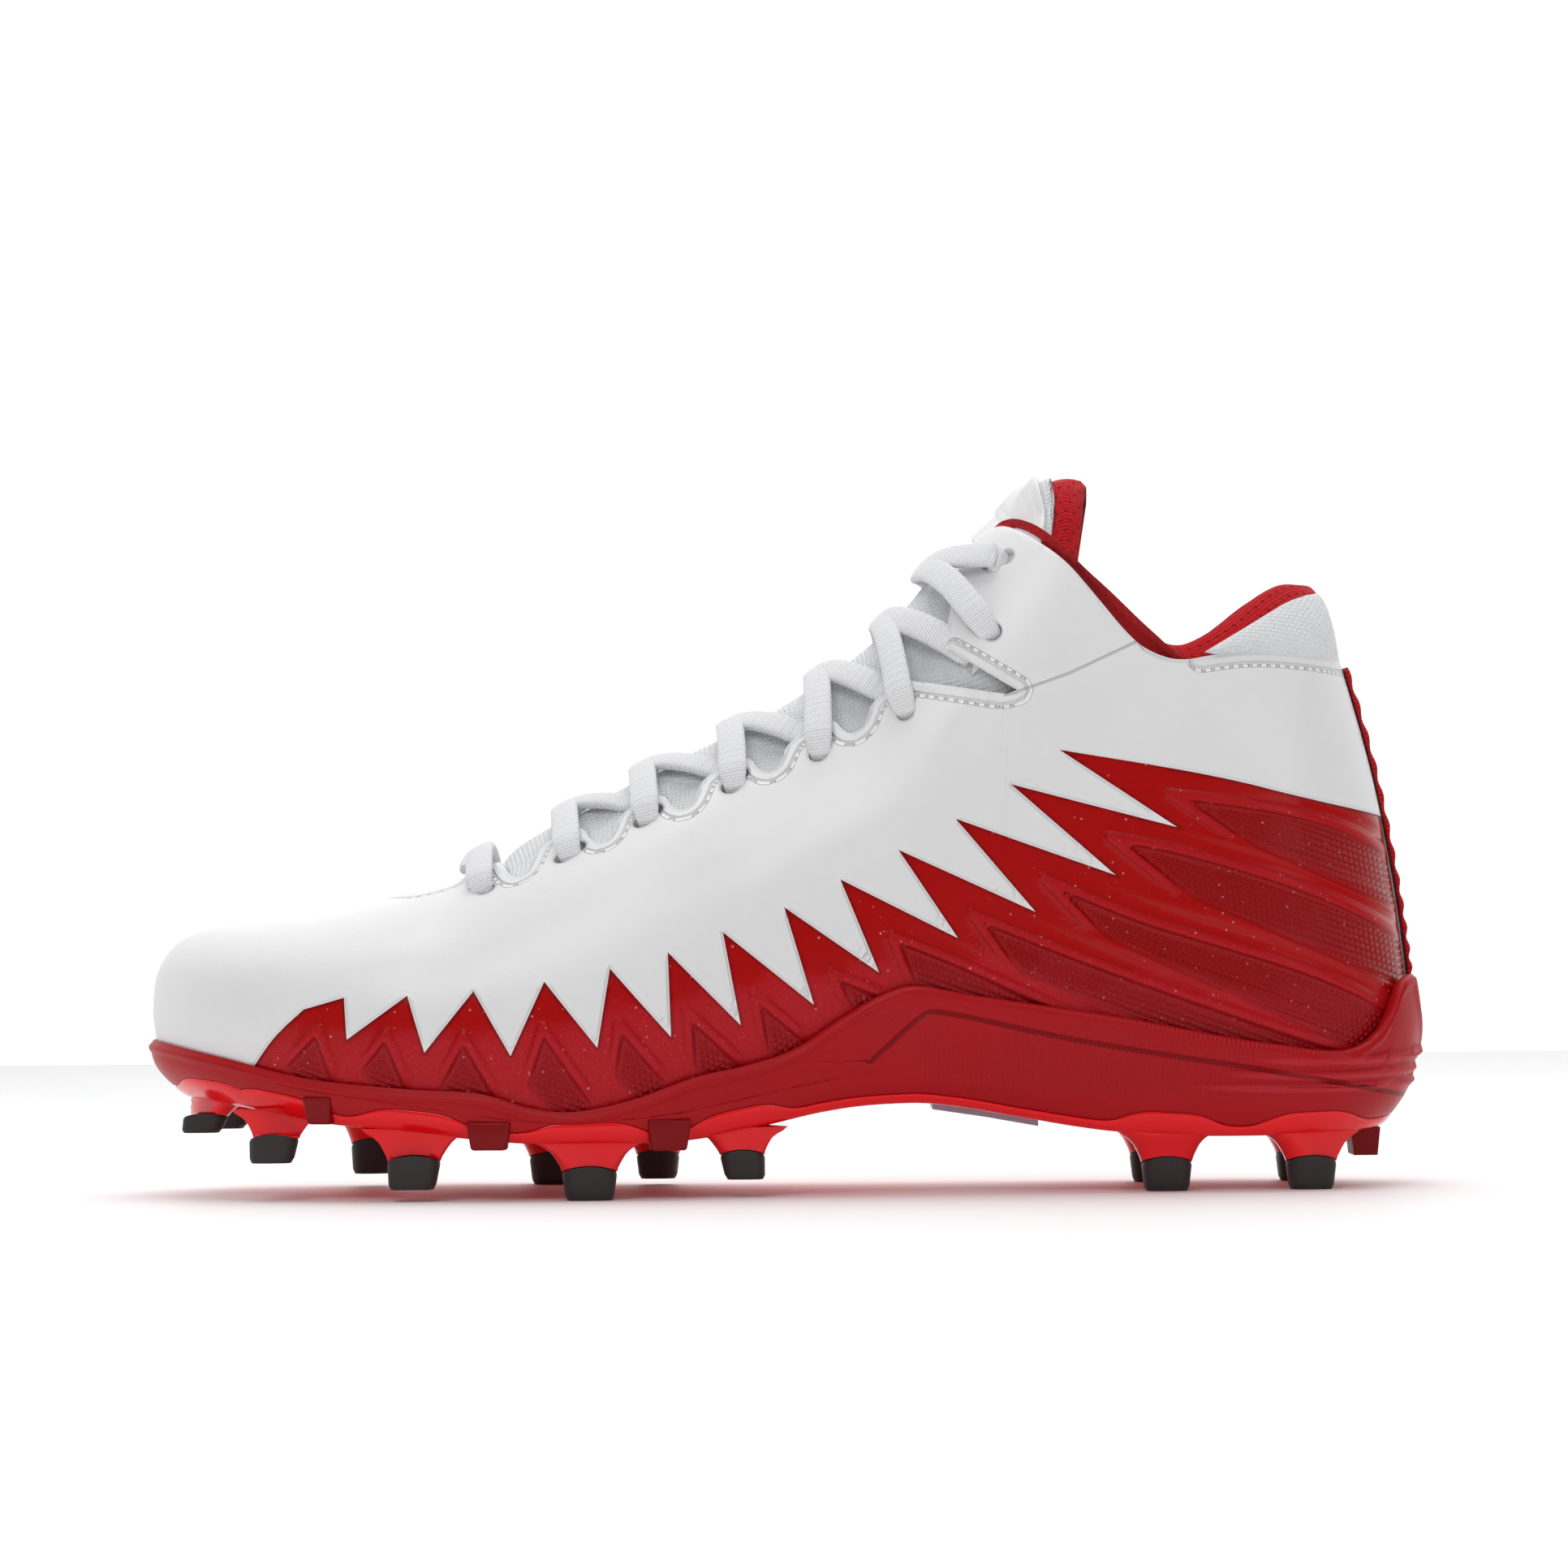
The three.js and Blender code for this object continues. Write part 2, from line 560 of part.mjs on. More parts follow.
const SKIN_TOP = [
  { at: 71.4, up: 56 },
  { at: 83.1, up: 52.1 },
  { at: 90.5, up: 48.3 },
  { at: 100, up: 44.6 },
];

// How far the top of the midsole stands over the feather edge, as shares of the cup height.
const CUP_LINE = [
  { at: -2, climb: 0.13 },
  { at: 5, climb: 0.08 },
  { at: 14, climb: 0.1 },
  { at: 22, climb: 0.17 },
  { at: 27, climb: 0.24 },
  { at: 31, climb: 0.12 },
  { at: 34, climb: 0.09 },
  { at: 38, climb: 0.18 },
  { at: 43, climb: 0.34 },
  { at: 47, climb: 0.34 },
  { at: 51, climb: 0.42 },
  { at: 55, climb: 0.72 },
  { at: 58, climb: 0.94 },
  { at: 60, climb: 1 },
  { at: 64, climb: 0.92 },
  { at: 71, climb: 0.84 },
  { at: 80, climb: 0.68 },
  { at: 88, climb: 0.48 },
  { at: 93, climb: 0.38 },
  { at: 95.5, climb: 0.5 },
  { at: 97, climb: 0.76 },
  { at: 98, climb: 1.02 },
  { at: 102, climb: 1.2 },
];

// Studs: place along and across (share of half the ball width), clearance over the floor, half lengths
// along and across at the plate and at the foot, and the lean of the stud towards the toe.
const STUDS = [
  { name: "toe_outer", at: 5.2, across: -0.2, clear: 15.4, base: [8.5, 6.5], foot: [4.6, 3.8], lean: 0.3 },
  { name: "toe_inner", at: 6.2, across: 0.42, clear: 15.2, base: [8, 6.5], foot: [4.4, 3.8], lean: 0.3 },
  { name: "outer_1", at: 11, across: -0.66, clear: 9, base: [9.5, 8], foot: [5, 4.4], lean: 0.12 },
  { name: "outer_2", at: 21.8, across: -0.8, clear: 2.8, base: [10.5, 8.5], foot: [5.4, 4.6], lean: 0.08 },
  { name: "outer_3", at: 35, across: -0.82, clear: 0, base: [10.5, 8.5], foot: [5.6, 4.8], lean: 0 },
  { name: "outer_4", at: 46.4, across: -0.68, clear: 4.2, base: [9, 7.5], foot: [4.6, 4.2], lean: -0.12 },
  { name: "inner_1", at: 16.9, across: 0.76, clear: 3.2, base: [9, 8], foot: [4.8, 4.4], lean: 0.05 },
  { name: "inner_2", at: 31.3, across: 0.8, clear: 0, base: [10, 8.5], foot: [5.4, 4.6], lean: 0 },
  { name: "inner_3", at: 39.7, across: 0.62, clear: 1.6, base: [8.5, 7.5], foot: [4.6, 4.2], lean: 0 },
  { name: "heel_outer_1", at: 79.3, across: -0.46, clear: 0, base: [9.5, 8], foot: [5.2, 4.6], lean: 0 },
  { name: "heel_outer_2", at: 90.5, across: -0.42, clear: 0, base: [10, 8], foot: [5.2, 4.6], lean: 0 },
  { name: "heel_inner_1", at: 79.3, across: 0.46, clear: 0, base: [9.5, 8], foot: [5.2, 4.6], lean: 0 },
  { name: "heel_inner_2", at: 90.9, across: 0.42, clear: 0, base: [10, 8], foot: [5.2, 4.6], lean: 0 },
];
const STUD_SIDES = 8;
const TIP_SHARE = 0.55; // share of a stud's height that is its black tip
const STUD_WAIST = 1.16; // size of the stud where its tip starts, over that of its foot
const STUD_ROOT = -0.1; // share of its height by which a stud reaches up into the plate
const STUD_NECK = 0.12; // share at which it has drawn in from the plate
const PAD_REACH = 1.15; // of the plate's rise round a stud, over the stud's half length
const EDGE_SHARE = 0.85; // height of the plate's edge, as a share of the plate

// Lugs of the midsole that fold down over the edge of the plate, and the low lugs at the toe and heel.
const TABS = [
  { at: 14.4, wide: 7, hang: 0.2, side: -1 },
  { at: 27.5, wide: 10.5, hang: 2, side: -1 },
  { at: 41, wide: 10.5, hang: 1.8, side: -1 },
  { at: 14.4, wide: 7, hang: 0.2, side: 1 },
  { at: 25, wide: 9, hang: 1.6, side: 1 },
  { at: 36, wide: 9, hang: 1.6, side: 1 },
];
const TAB_THICK = 1.8;
const LUGS = [
  { name: "toe_lug", at: 8.4, wide: 5, across: 9, hang: 3.6 },
  { name: "heel_lug", at: 95.2, wide: 7, across: 15, hang: 6.2 },
];

// The largest single body, which leaves out slivers where two cuts graze each other.
function mainBody(solid) {
  return solid.decompose().reduce((a, b) => (a.volume() > b.volume() ? a : b));
}

const outerLast = grown(0);
const cavity = grown(-WALL, 2 * PLATE);
const openThroat = openingLine();
const openingPrism = aboveOpening(0);

// The edge of the openings as seen from the side: eyestay with scallops, ankle notch, wing and collar.
function openingLine() {
  const eyestay = pointsOf(EYESTAY);
  const heightAt = (x) => {
    const k = Math.max(eyestay.findIndex((p) => p[0] > x), 1);
    const [x0, z0] = eyestay[k - 1];
    const [x1, z1] = eyestay[k];
    return z0 + ((z1 - z0) * (x - x0)) / (x1 - x0);
  };
  const first = along(EYELETS[0].at);
  const line = [...eyestay.filter((p) => p[0] < first), [first, heightAt(first)]];
  for (let k = 0; k + 1 < LOWER_EYELETS; k += 1) {
    const here = along(EYELETS[k].at);
    const next = along(EYELETS[k + 1].at);
    const middle = here + SCALLOP_PLACE * (next - here);
    for (const { side, deep } of SCALLOP) {
      const x = middle + side * SCALLOP_WIDTH;
      line.push([x, heightAt(x) - deep * SCALLOP_DEPTH]);
    }
    line.push([next, heightAt(next)]);
  }
  return [...line, ...pointsOf(NOTCH_TIP), ...pointsOf(WING_FRONT), ...pointsOf(COLLAR)];
}

function aboveOpening(by) {
  const line = raised(openThroat, by);
  const end = line[line.length - 1];
  return bothSides([...line, [REACH_X, end[1]], [REACH_X, REACH_Z], [line[0][0], REACH_Z]]);
}

// A slot through the wall at an eyelet.
function eyeletCutter(row, side) {
  const { u, v } = locate(along(row.at), above(row.up), side);
  const shape = new THREE.Shape();
  const half = (EYELET_LENGTH - EYELET_WIDTH) / 2;
  shape.absarc(half, 0, EYELET_WIDTH / 2, -Math.PI / 2, Math.PI / 2, false);
  shape.absarc(-half, 0, EYELET_WIDTH / 2, Math.PI / 2, (3 * Math.PI) / 2, false);
  const depth = 4 * WALL;
  const geometry = new THREE.ExtrudeGeometry(shape, { depth, bevelEnabled: false, curveSegments: 2 });
  geometry.translate(0, 0, -depth / 2);
  const normal = lastNormal(u, v);
  const tilt = THREE.MathUtils.degToRad(row.tilt);
  const long = new THREE.Vector3(Math.cos(tilt), 0, Math.sin(tilt));
  long.addScaledVector(normal, -long.dot(normal)).normalize();
  const short = new THREE.Vector3().crossVectors(normal, long);
  const place = new THREE.Matrix4().makeBasis(long, short, normal).setPosition(lastPoint(u, v));
  return solidFrom(geometry.applyMatrix4(place));
}

// The side view outline of the side skin, moved outwards by a clearance.
function skinOutline(by) {
  const line = [
    ...pointsOf(SKIN_START),
    ...TEETH.flatMap((t) => [
      [along(t.peakAt), above(t.peakUp)],
      [along(t.notchAt), above(t.notchUp)],
    ]),
    ...pointsOf(SKIN_TOP),
  ];
  const outline = line.map((point, i) => {
    const before = line[Math.max(i - 1, 0)];
    const after = line[Math.min(i + 1, line.length - 1)];
    const a = normalOf(before, point);
    const b = normalOf(point, after);
    const into = i === 0 ? b : i === line.length - 1 ? a : [a[0] + b[0], a[1] + b[1]];
    const size = Math.hypot(...into);
    const cosine = i === 0 || i === line.length - 1 ? 1 : size / 2;
    const reach = by / Math.max(cosine, 0.16);
    return [point[0] + (into[0] / size) * reach, point[1] + (into[1] / size) * reach];
  });
  return [...outline, [REACH_X, outline[outline.length - 1][1]], [REACH_X, 0], [outline[0][0], 0]];
}

function normalOf([x0, z0], [x1, z1]) {
  const size = Math.hypot(x1 - x0, z1 - z0) || 1;
  return [-(z1 - z0) / size, (x1 - x0) / size];
}

function makeUpper() {
  let upper = outerLast.subtract(cavity).subtract(openingPrism);
  const recess = grown(WALL, PLATE).subtract(grown(-SKIN_SUNK - SKIN - GAP, 2 * PLATE));
  upper = upper.subtract(recess.intersect(bothSides(skinOutline(GAP))));
  const wing = aboveLine(pointsOf(WING_SEAM));
  upper = upper.subtract(grown(WALL).subtract(grown(-WING_STEP, 2 * PLATE)).intersect(wing));
  for (const side of [-1, 1]) {
    for (const row of EYELETS) upper = upper.subtract(eyeletCutter(row, side));
  }
  return mainBody(upper);
}

const skinZone = grown(-SKIN_SUNK).subtract(grown(-SKIN_SUNK - SKIN, 2 * PLATE));

function makeSideSkin(side) {
  const seam = TAPE_WIDTH / 4;
  const outline = skinOutline(0);
  const half = side < 0 ? sidePrism(outline, -REACH_Y, -seam) : sidePrism(outline, seam, REACH_Y);
  return mainBody(skinZone.intersect(half));
}

// The line between the midsole and the plate, which rises round each stud of that side.
function partingLine(side) {
  const line = [];
  for (let at = -4; at <= 104; at += LINE_STEP) {
    const x = along(at);
    let pad = 0;
    for (const stud of STUDS)
      if (Math.sign(stud.across) === side) {
        const away = (x - along(stud.at)) / (PAD_REACH * stud.base[0]);
        pad = Math.max(pad, Math.exp(-(away ** 4)));
      }
    line.push([x, STUD_HEIGHT + lift(x) + PLATE * (EDGE_SHARE + pad)]);
  }
  return line;
}

function cupLine() {
  const line = [];
  for (let at = -3; at <= 102; at += CUP_STEP) {
    const x = along(at);
    const seat = BASE + lift(x) + MIDSOLE * seatShare(at);
    line.push([x, seat + CUP_HEIGHT * lookUp(CUP_LINE, "climb", at)]);
  }
  return line;
}

// The last's seat column by place along the shoe.
function seatShare(at) {
  return lookUp(
    LAST.map((row) => ({ at: row.foot, seat: row.seat })),
    "seat",
    at,
  );
}

// A side view line taken on one side of the shoe only.
function underLine(line, side) {
  const outline = outlineTo(line, -REACH_Z);
  return side < 0 ? sidePrism(outline, -REACH_Y, 0) : sidePrism(outline, 0, REACH_Y);
}

const sole = soleSolid();
const belowParting = (by) =>
  underLine(raised(partingLine(-1), by), -1).add(underLine(raised(partingLine(1), by), 1));

// A tapered block that hugs the side of the sole and hangs over the edge of the plate.
function makeTab(row) {
  const x = along(row.at);
  const station = stationAtFoot(x);
  const side = row.side;
  const edge = lastPoint(station, side);
  const facing = featherFacing(station, side);
  const s = section(station);
  const out = s.cup + TAB_THICK / 2;
  const top = s.footZ - PLATE / 3;
  const bottom = STUD_HEIGHT + lift(x) - row.hang;
  const block = new THREE.BoxGeometry(row.wide, 2 * TAB_THICK, top - bottom);
  const position = block.attributes.position;
  for (let i = 0; i < position.count; i += 1)
    if (position.getZ(i) < 0) position.setX(i, position.getX(i) * 0.8);
  const across = new THREE.Vector3(-facing.y, facing.x, 0);
  const middle = edge.clone().addScaledVector(facing, out - TAB_THICK).setZ((top + bottom) / 2);
  const place = new THREE.Matrix4().makeBasis(across, facing.clone().negate(), new THREE.Vector3(0, 0, 1));
  return solidFrom(block.applyMatrix4(place.setPosition(middle)));
}

function stationAtFoot(x) {
  let low = 0;
  let high = LAST_ROW;
  for (let i = 0; i < 40; i += 1) {
    const middle = (low + high) / 2;
    if (section(middle).footX < x) low = middle;
    else high = middle;
  }
  return low;
}

const tabs = TABS.map(makeTab).reduce((a, b) => a.add(b));

function makeMidsole() {
  const body = sole.intersect(belowLine(cupLine())).subtract(belowParting(0));
  return mainBody(body.add(tabs).subtract(grown(GAP, GAP)));
}

// A stud as rings round its axis, from inside the plate down to its foot, between two shares of its height.
function studSolid(row, from, to) {
  const x = along(row.at);
  const y = (row.across * BALL_WIDTH) / 2;
  const top = STUD_HEIGHT + lift(x);
  const height = top - row.clear;
  const shares = from < 0 ? [from, STUD_NECK, to] : [from, to];
  const rings = shares.map((share) => {
    const waist = THREE.MathUtils.clamp(share / (1 - TIP_SHARE), 0, 1);
    const tip = THREE.MathUtils.clamp((share - 1 + TIP_SHARE) / TIP_SHARE, 0, 1);
    const taper = 1 + (STUD_WAIST - 1) * (1 - tip);
    const size = [0, 1].map((k) => THREE.MathUtils.lerp(row.base[k], row.foot[k] * taper, waist ** 0.55));
    return Array.from({ length: STUD_SIDES }, (_, j) => {
      const angle = (2 * Math.PI * (j + 0.5)) / STUD_SIDES;
      const lean = -row.lean * height * share;
      const long = size[0] * Math.cos(angle);
      const wide = size[1] * Math.sin(angle);
      return new THREE.Vector3(x + lean + long, y + wide, top - height * share);
    });
  });
  return gridSolid(rings, true);
}

function makePlate() {
  let plate = sole.intersect(belowParting(-GAP));
  for (const row of STUDS) plate = plate.add(studSolid(row, STUD_ROOT, 1 - TIP_SHARE - GAP / STUD_HEIGHT));
  return mainBody(plate.subtract(tabs).subtract(tabClearance));
}

// The tabs grown by the clearance, by shifting copies of them.
const tabClearance = [
  [GAP, 0, 0],
  [-GAP, 0, 0],
  [0, GAP, 0],
  [0, -GAP, 0],
  [0, 0, -GAP],
]
  .map((shift) => tabs.translate(...shift))
  .reduce((a, b) => a.add(b));

// A low lug that follows the slope of the plate.
function makeLug(row) {
  const x = along(row.at);
  const half = row.wide / 2;
  const under = (at) => STUD_HEIGHT + lift(at) - GAP;
  const outline = [
    [x - half, under(x - half)],
    [x + half, under(x + half)],
    [x + half * 0.8, under(x) - row.hang],
    [x - half * 0.8, under(x) - row.hang],
  ].reverse();
  const middle = row.across / 2;
  const y = x < 0 ? middle / 2 : 0;
  return mainBody(sidePrism(outline, y - middle, y + middle).subtract(sole.translate(0, 0, -GAP)));
}

function makeArchPatch() {
  const from = along(PATCH_FROM);
  const to = along(PATCH_TO);
  const under = (x, by) => [x, STUD_HEIGHT + lift(x) - GAP - by];
  const middle = (from + to) / 2;
  const low = [from, middle, to].map((x) => under(x, PATCH));
  const outline = [under(from, 0), ...low, under(to, 0), under(middle, 0)];
  const raw = sidePrism(outline, -PATCH_WIDTH / 2, PATCH_WIDTH / 2);
  return mainBody(raw.subtract(sole.translate(0, 0, -GAP)));
}

function makeInsole() {
  const inside = grown(-WALL - GAP);
  const line = [];
  for (let at = -2; at <= 102; at += LINE_STEP) {
    const x = along(at);
    line.push([x, BASE + lift(x) + MIDSOLE * seatShare(at) + INSOLE]);
  }
  return mainBody(inside.intersect(belowLine(line)));
}

const innerFace = grown(-WALL - GAP);
const liningBack = grown(-WALL - GAP - LINING);

function makeLining() {
  const collar = [...pointsOf(WING_FRONT).slice(0, 3), ...pointsOf(ROLL_TOP)];
  const back = collar[collar.length - 1];
  const foot = pointsOf(LINING_FOOT);
  const rear = [foot[foot.length - 1], back].map(([, z]) => [REACH_X, z]);
  const band = bothSides([...foot, ...rear, ...[...collar].reverse()].reverse());
  const inner = innerFace.subtract(liningBack).intersect(band);
  const rollBand = outside(raised(pointsOf(COLLAR), GAP), pointsOf(ROLL_TOP));
  const padBelow = outside(raised(pointsOf(COLLAR), -1), raised(pointsOf(ROLL_FOOT), GAP));
  const roll = grown(-SKIN_SUNK).subtract(liningBack).intersect(rollBand).subtract(padBelow);
  return mainBody(inner.add(roll).subtract(tongueRoom()));
}

// The band between two side view lines that run the same way.
function outside(lower, upper) {
  return bothSides([...lower, ...[...upper].reverse()]);
}

function makeHeelPad() {
  const collar = raised(pointsOf(COLLAR), GAP);
  const band = outside(collar.slice(6), pointsOf(ROLL_FOOT));
  return mainBody(grown(GAP).subtract(grown(-WALL)).intersect(band));
}

// Whether a point lies in the openings, as seen from the side.
function inOpening({ x, z }) {
  const end = openThroat[openThroat.length - 1];
  const outline = [...openThroat, [REACH_X, end[1]], [REACH_X, REACH_Z], [openThroat[0][0], REACH_Z]];
  let inside = false;
  outline.forEach(([x0, z0], i) => {
    const [x1, z1] = outline[(i + 1) % outline.length];
    if (z0 > z !== z1 > z && x < x0 + ((x1 - x0) * (z - z0)) / (z1 - z0)) inside = !inside;
  });
  return inside;
}

// How wide the throat is round a station, in steps of the last from the ridge.
function throatHalf(station) {
  const halfAt = (u) => {
    let v = 0;
    while (v < 1 && inOpening(lastPoint(u, v)) && inOpening(lastPoint(u, -v))) v += 0.01;
    return v;
  };
  return Math.min(...THROAT_REACH.map((du) => halfAt(station + du)));
}

// A layer of the tongue, thick below its face, which lies under the wall and swells out through the throat.
function tongueLayer(sunk, thick) {
  const rings = TONGUE_ROWS.map((row) => {
    const throat = throatHalf(row.station);
    const crown = Math.max(throat - THROAT_MARGIN, row.half * 0.15);
    const rise = THREE.MathUtils.smoothstep(throat, THROAT_MARGIN, 3 * THROAT_MARGIN);
    const across = [
      { v: row.half, swell: 0 },
      { v: (row.half + crown) / 2, swell: 0 },
      { v: crown, swell: 0.02 },
      { v: 0.6 * crown, swell: 0.75 },
      { v: 0, swell: 1 },
    ];
    const all = [...across.map(({ v, swell }) => ({ v: -v, swell })), ...across.slice(0, -1).reverse()];
    const height = (swell) => TONGUE_FACE + (TONGUE_CROWN - TONGUE_FACE) * swell * rise - sunk;
    const face = all.map(({ v, swell }) => offsetPoint(row.station, v, height(swell)));
    const back = all.map(({ v, swell }) => offsetPoint(row.station, v, height(swell) - thick)).reverse();
    return [...face, ...back];
  });
  return gridSolid(rings, true);
}

// The wall with its clearance, open at the throat.
const wallRoom = grown(2 * WALL, 2 * PLATE).subtract(innerFace).subtract(aboveOpening(GAP));
const makeTongue = () => mainBody(tongueLayer(0, TONGUE).subtract(wallRoom));
const makeTonguePad = () => mainBody(tongueLayer(TONGUE + GAP, TONGUE_PAD).subtract(wallRoom));

// What the lining leaves free so that it clears the tongue.
function tongueRoom() {
  const top = TONGUE_ROWS[TONGUE_ROWS.length - 1];
  const rings = [...TONGUE_ROWS, { station: top.station + 0.1, half: top.half }].map((row) => {
    const across = [-1, -0.5, 0, 0.5, 1].map((side) => side * (row.half + 0.03));
    const face = across.map((v) => offsetPoint(row.station, v, 4 * WALL));
    const deep = TONGUE_FACE - 2 * (TONGUE + TONGUE_PAD);
    const back = [...across].reverse().map((v) => offsetPoint(row.station, v, deep));
    return [...face, ...back];
  });
  return gridSolid(rings, true);
}

// A flat cord through places on the last, each with its station, step and height over the tongue or the
// eyestay.
function laceRibbon(path) {
  const points = path.map(({ u, v, out }) => offsetPoint(u, v, out));
  const rings = points.map((point, i) => {
    const before = points[Math.max(i - 1, 0)];
    const after = points[Math.min(i + 1, points.length - 1)];
    const ahead = after.clone().sub(before).normalize();
    const up = lastNormal(path[i].u, path[i].v);
    up.addScaledVector(ahead, -up.dot(ahead)).normalize();
    const wide = new THREE.Vector3().crossVectors(up, ahead);
    wide.multiplyScalar(LACE_WIDTH / 2);
    up.multiplyScalar(LACE_THICK / 2);
    const corner = (a, b) => point.clone().addScaledVector(wide, a).addScaledVector(up, b);
    return [corner(1, -1), corner(-1, -1), corner(-1, 1), corner(1, 1)];
  });
  return gridSolid(rings, true);
}

// Half a crossing: out of an eyelet, over the ridge, and down to where it meets the other side.
function lacePath(row, side) {
  const from = locate(along(EYELETS[row.eyelet].at), above(EYELETS[row.eyelet].up), -1);
  const start = { u: from.u, v: -Math.abs(from.v) };
  const rest = LACE_LIFT + LACE_THICK / 2;
  const half = LACE_SHARES.map((share) => {
    const u = THREE.MathUtils.lerp(row.crest, start.u, share ** 1.5);
    return { u, v: side * start.v * share, out: rest + TONGUE_CROWN * (1 - share ** 2) };
  }).reverse();
  const other = LACE_SHARES.slice(1).map((share) => {
    const u = THREE.MathUtils.lerp(row.crest, row.endStation, share ** 1.5);
    return { u, v: side * row.endStep * share, out: rest + TONGUE_CROWN * (1 - share ** 2 * row.dips) };
  });
  return [...half, ...other];
}

function makeLace(row) {
  const one = laceRibbon(lacePath(row, 1));
  return row.bar ? one : mainBody(one.add(laceRibbon(lacePath(row, -1))));
}

function makeHeelTape() {
  const lineUp = cupLine().map(([x, z]) => [x, z + GAP]);
  const top = above(TAPE_TOP);
  const box = new THREE.BoxGeometry(LENGTH / 4, TAPE_WIDTH, HEIGHT);
  box.translate(along(100), 0, top - HEIGHT / 2);
  const shell = grown(GAP + TAPE).subtract(grown(GAP));
  return mainBody(shell.intersect(solidFrom(box)).subtract(belowLine(lineUp)));
}

const group = new THREE.Group();
function piece(name, solid, colour, roughness) {
  const mesh = solid.getMesh();
  const geometry = new THREE.BufferGeometry();
  geometry.setAttribute("position", new THREE.BufferAttribute(mesh.vertProperties, mesh.numProp));
  geometry.setIndex(new THREE.BufferAttribute(mesh.triVerts, 1));
  geometry.computeVertexNormals();
  const material = new THREE.MeshStandardMaterial({ color: colour, roughness, metalness: 0 });
  const made = new THREE.Mesh(geometry, material);
  made.name = name;
  group.add(made);
}

const WHITE = 0xf2f2f1;
const SKIN_RED = 0xa80310;
const SOLE_RED = 0xa5101c;
const PLATE_RED = 0xe0141a;
const KNIT_RED = 0xc41a22;
const BLACK = 0x141312;
const PALE = 0xb9adc0;

piece("upper", makeUpper(), WHITE, 0.45);
piece("side_skin_outer", makeSideSkin(-1), SKIN_RED, 0.3);
piece("side_skin_inner", makeSideSkin(1), SKIN_RED, 0.3);
piece("midsole", makeMidsole(), SOLE_RED, 0.4);
piece("outsole_plate", makePlate(), PLATE_RED, 0.25);
piece("insole", makeInsole(), WHITE, 0.8);
piece("tongue", makeTongue(), WHITE, 0.9);
piece("tongue_lining", makeTonguePad(), KNIT_RED, 0.9);
piece("collar_lining", makeLining(), KNIT_RED, 0.9);
piece("heel_collar_pad", makeHeelPad(), WHITE, 0.9);
piece("heel_tape", makeHeelTape(), KNIT_RED, 0.9);
for (const row of STUDS) piece("stud_tip_" + row.name, studSolid(row, 1 - TIP_SHARE, 1), BLACK, 0.5);
for (const row of LUGS) piece(row.name, makeLug(row), SOLE_RED, 0.4);
piece("arch_patch", makeArchPatch(), PALE, 0.4);
for (const row of LACES) piece(row.name, makeLace(row), WHITE, 0.8);

export default group;
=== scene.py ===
"""An american football cleat for the left foot: the looks of its upper, moulded side skins, sole, lining and lace.

X runs from the toe (-) to the heel (+), -Y is the outer side and Z is up. Tables and sizes are in millimetres.
"""

import math

import bmesh
import bpy
import numpy as np
from mathutils import Matrix, Vector


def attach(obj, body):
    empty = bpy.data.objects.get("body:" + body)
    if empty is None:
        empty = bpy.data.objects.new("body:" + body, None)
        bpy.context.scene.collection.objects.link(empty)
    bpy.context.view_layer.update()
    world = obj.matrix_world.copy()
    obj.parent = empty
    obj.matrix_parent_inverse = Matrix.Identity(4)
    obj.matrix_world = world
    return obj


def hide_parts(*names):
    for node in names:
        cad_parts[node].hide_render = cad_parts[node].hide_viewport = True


bl_info = {
    "name": "Football Cleat",
    "version": (1, 0, 0),
    "blender": (4, 5, 0),
    "location": "View3D > Sidebar > Cleat",
    "description": "Builds the dressed pieces of an american football cleat round its frame",
    "category": "Add Mesh",
}

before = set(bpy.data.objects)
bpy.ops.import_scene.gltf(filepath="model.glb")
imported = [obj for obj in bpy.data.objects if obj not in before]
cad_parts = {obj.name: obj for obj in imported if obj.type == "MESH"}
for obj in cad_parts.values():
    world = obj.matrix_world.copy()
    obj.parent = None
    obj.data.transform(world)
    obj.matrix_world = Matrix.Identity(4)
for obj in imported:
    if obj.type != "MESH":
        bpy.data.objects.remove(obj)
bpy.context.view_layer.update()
BODY = "root"
MM = 0.001

# Driving sizes of the frame
LENGTH = 305
HEIGHT = 172
BALL_WIDTH = 100
HEEL_WIDTH = 68
STUD_HEIGHT = 13
TOE_SPRING = 10
ARCH_RISE = 8.3
PLATE = 3
MIDSOLE = 8.6
CUP_HEIGHT = 20
WALL = 2.6
BASE = STUD_HEIGHT + PLATE
REACH = HEIGHT - BASE

# Lift of the plate, as shares of the toe spring and of the arch rise
PLATE_LINE = {
    "at": [0, 7, 14, 22, 30, 38, 43, 48, 53.5, 58, 62, 69.5, 75, 82, 94, 100],
    "spring": [1.1, 0.92, 0.54, 0.28, 0.04, 0, 0, 0, 0, 0, 0, 0, 0, 0, 0, 0],
    "arch": [0, 0, 0, 0, 0, 0, 0.09, 0.42, 0.84, 1, 0.95, 0.48, 0.16, 0, 0.04, 0.3],
}
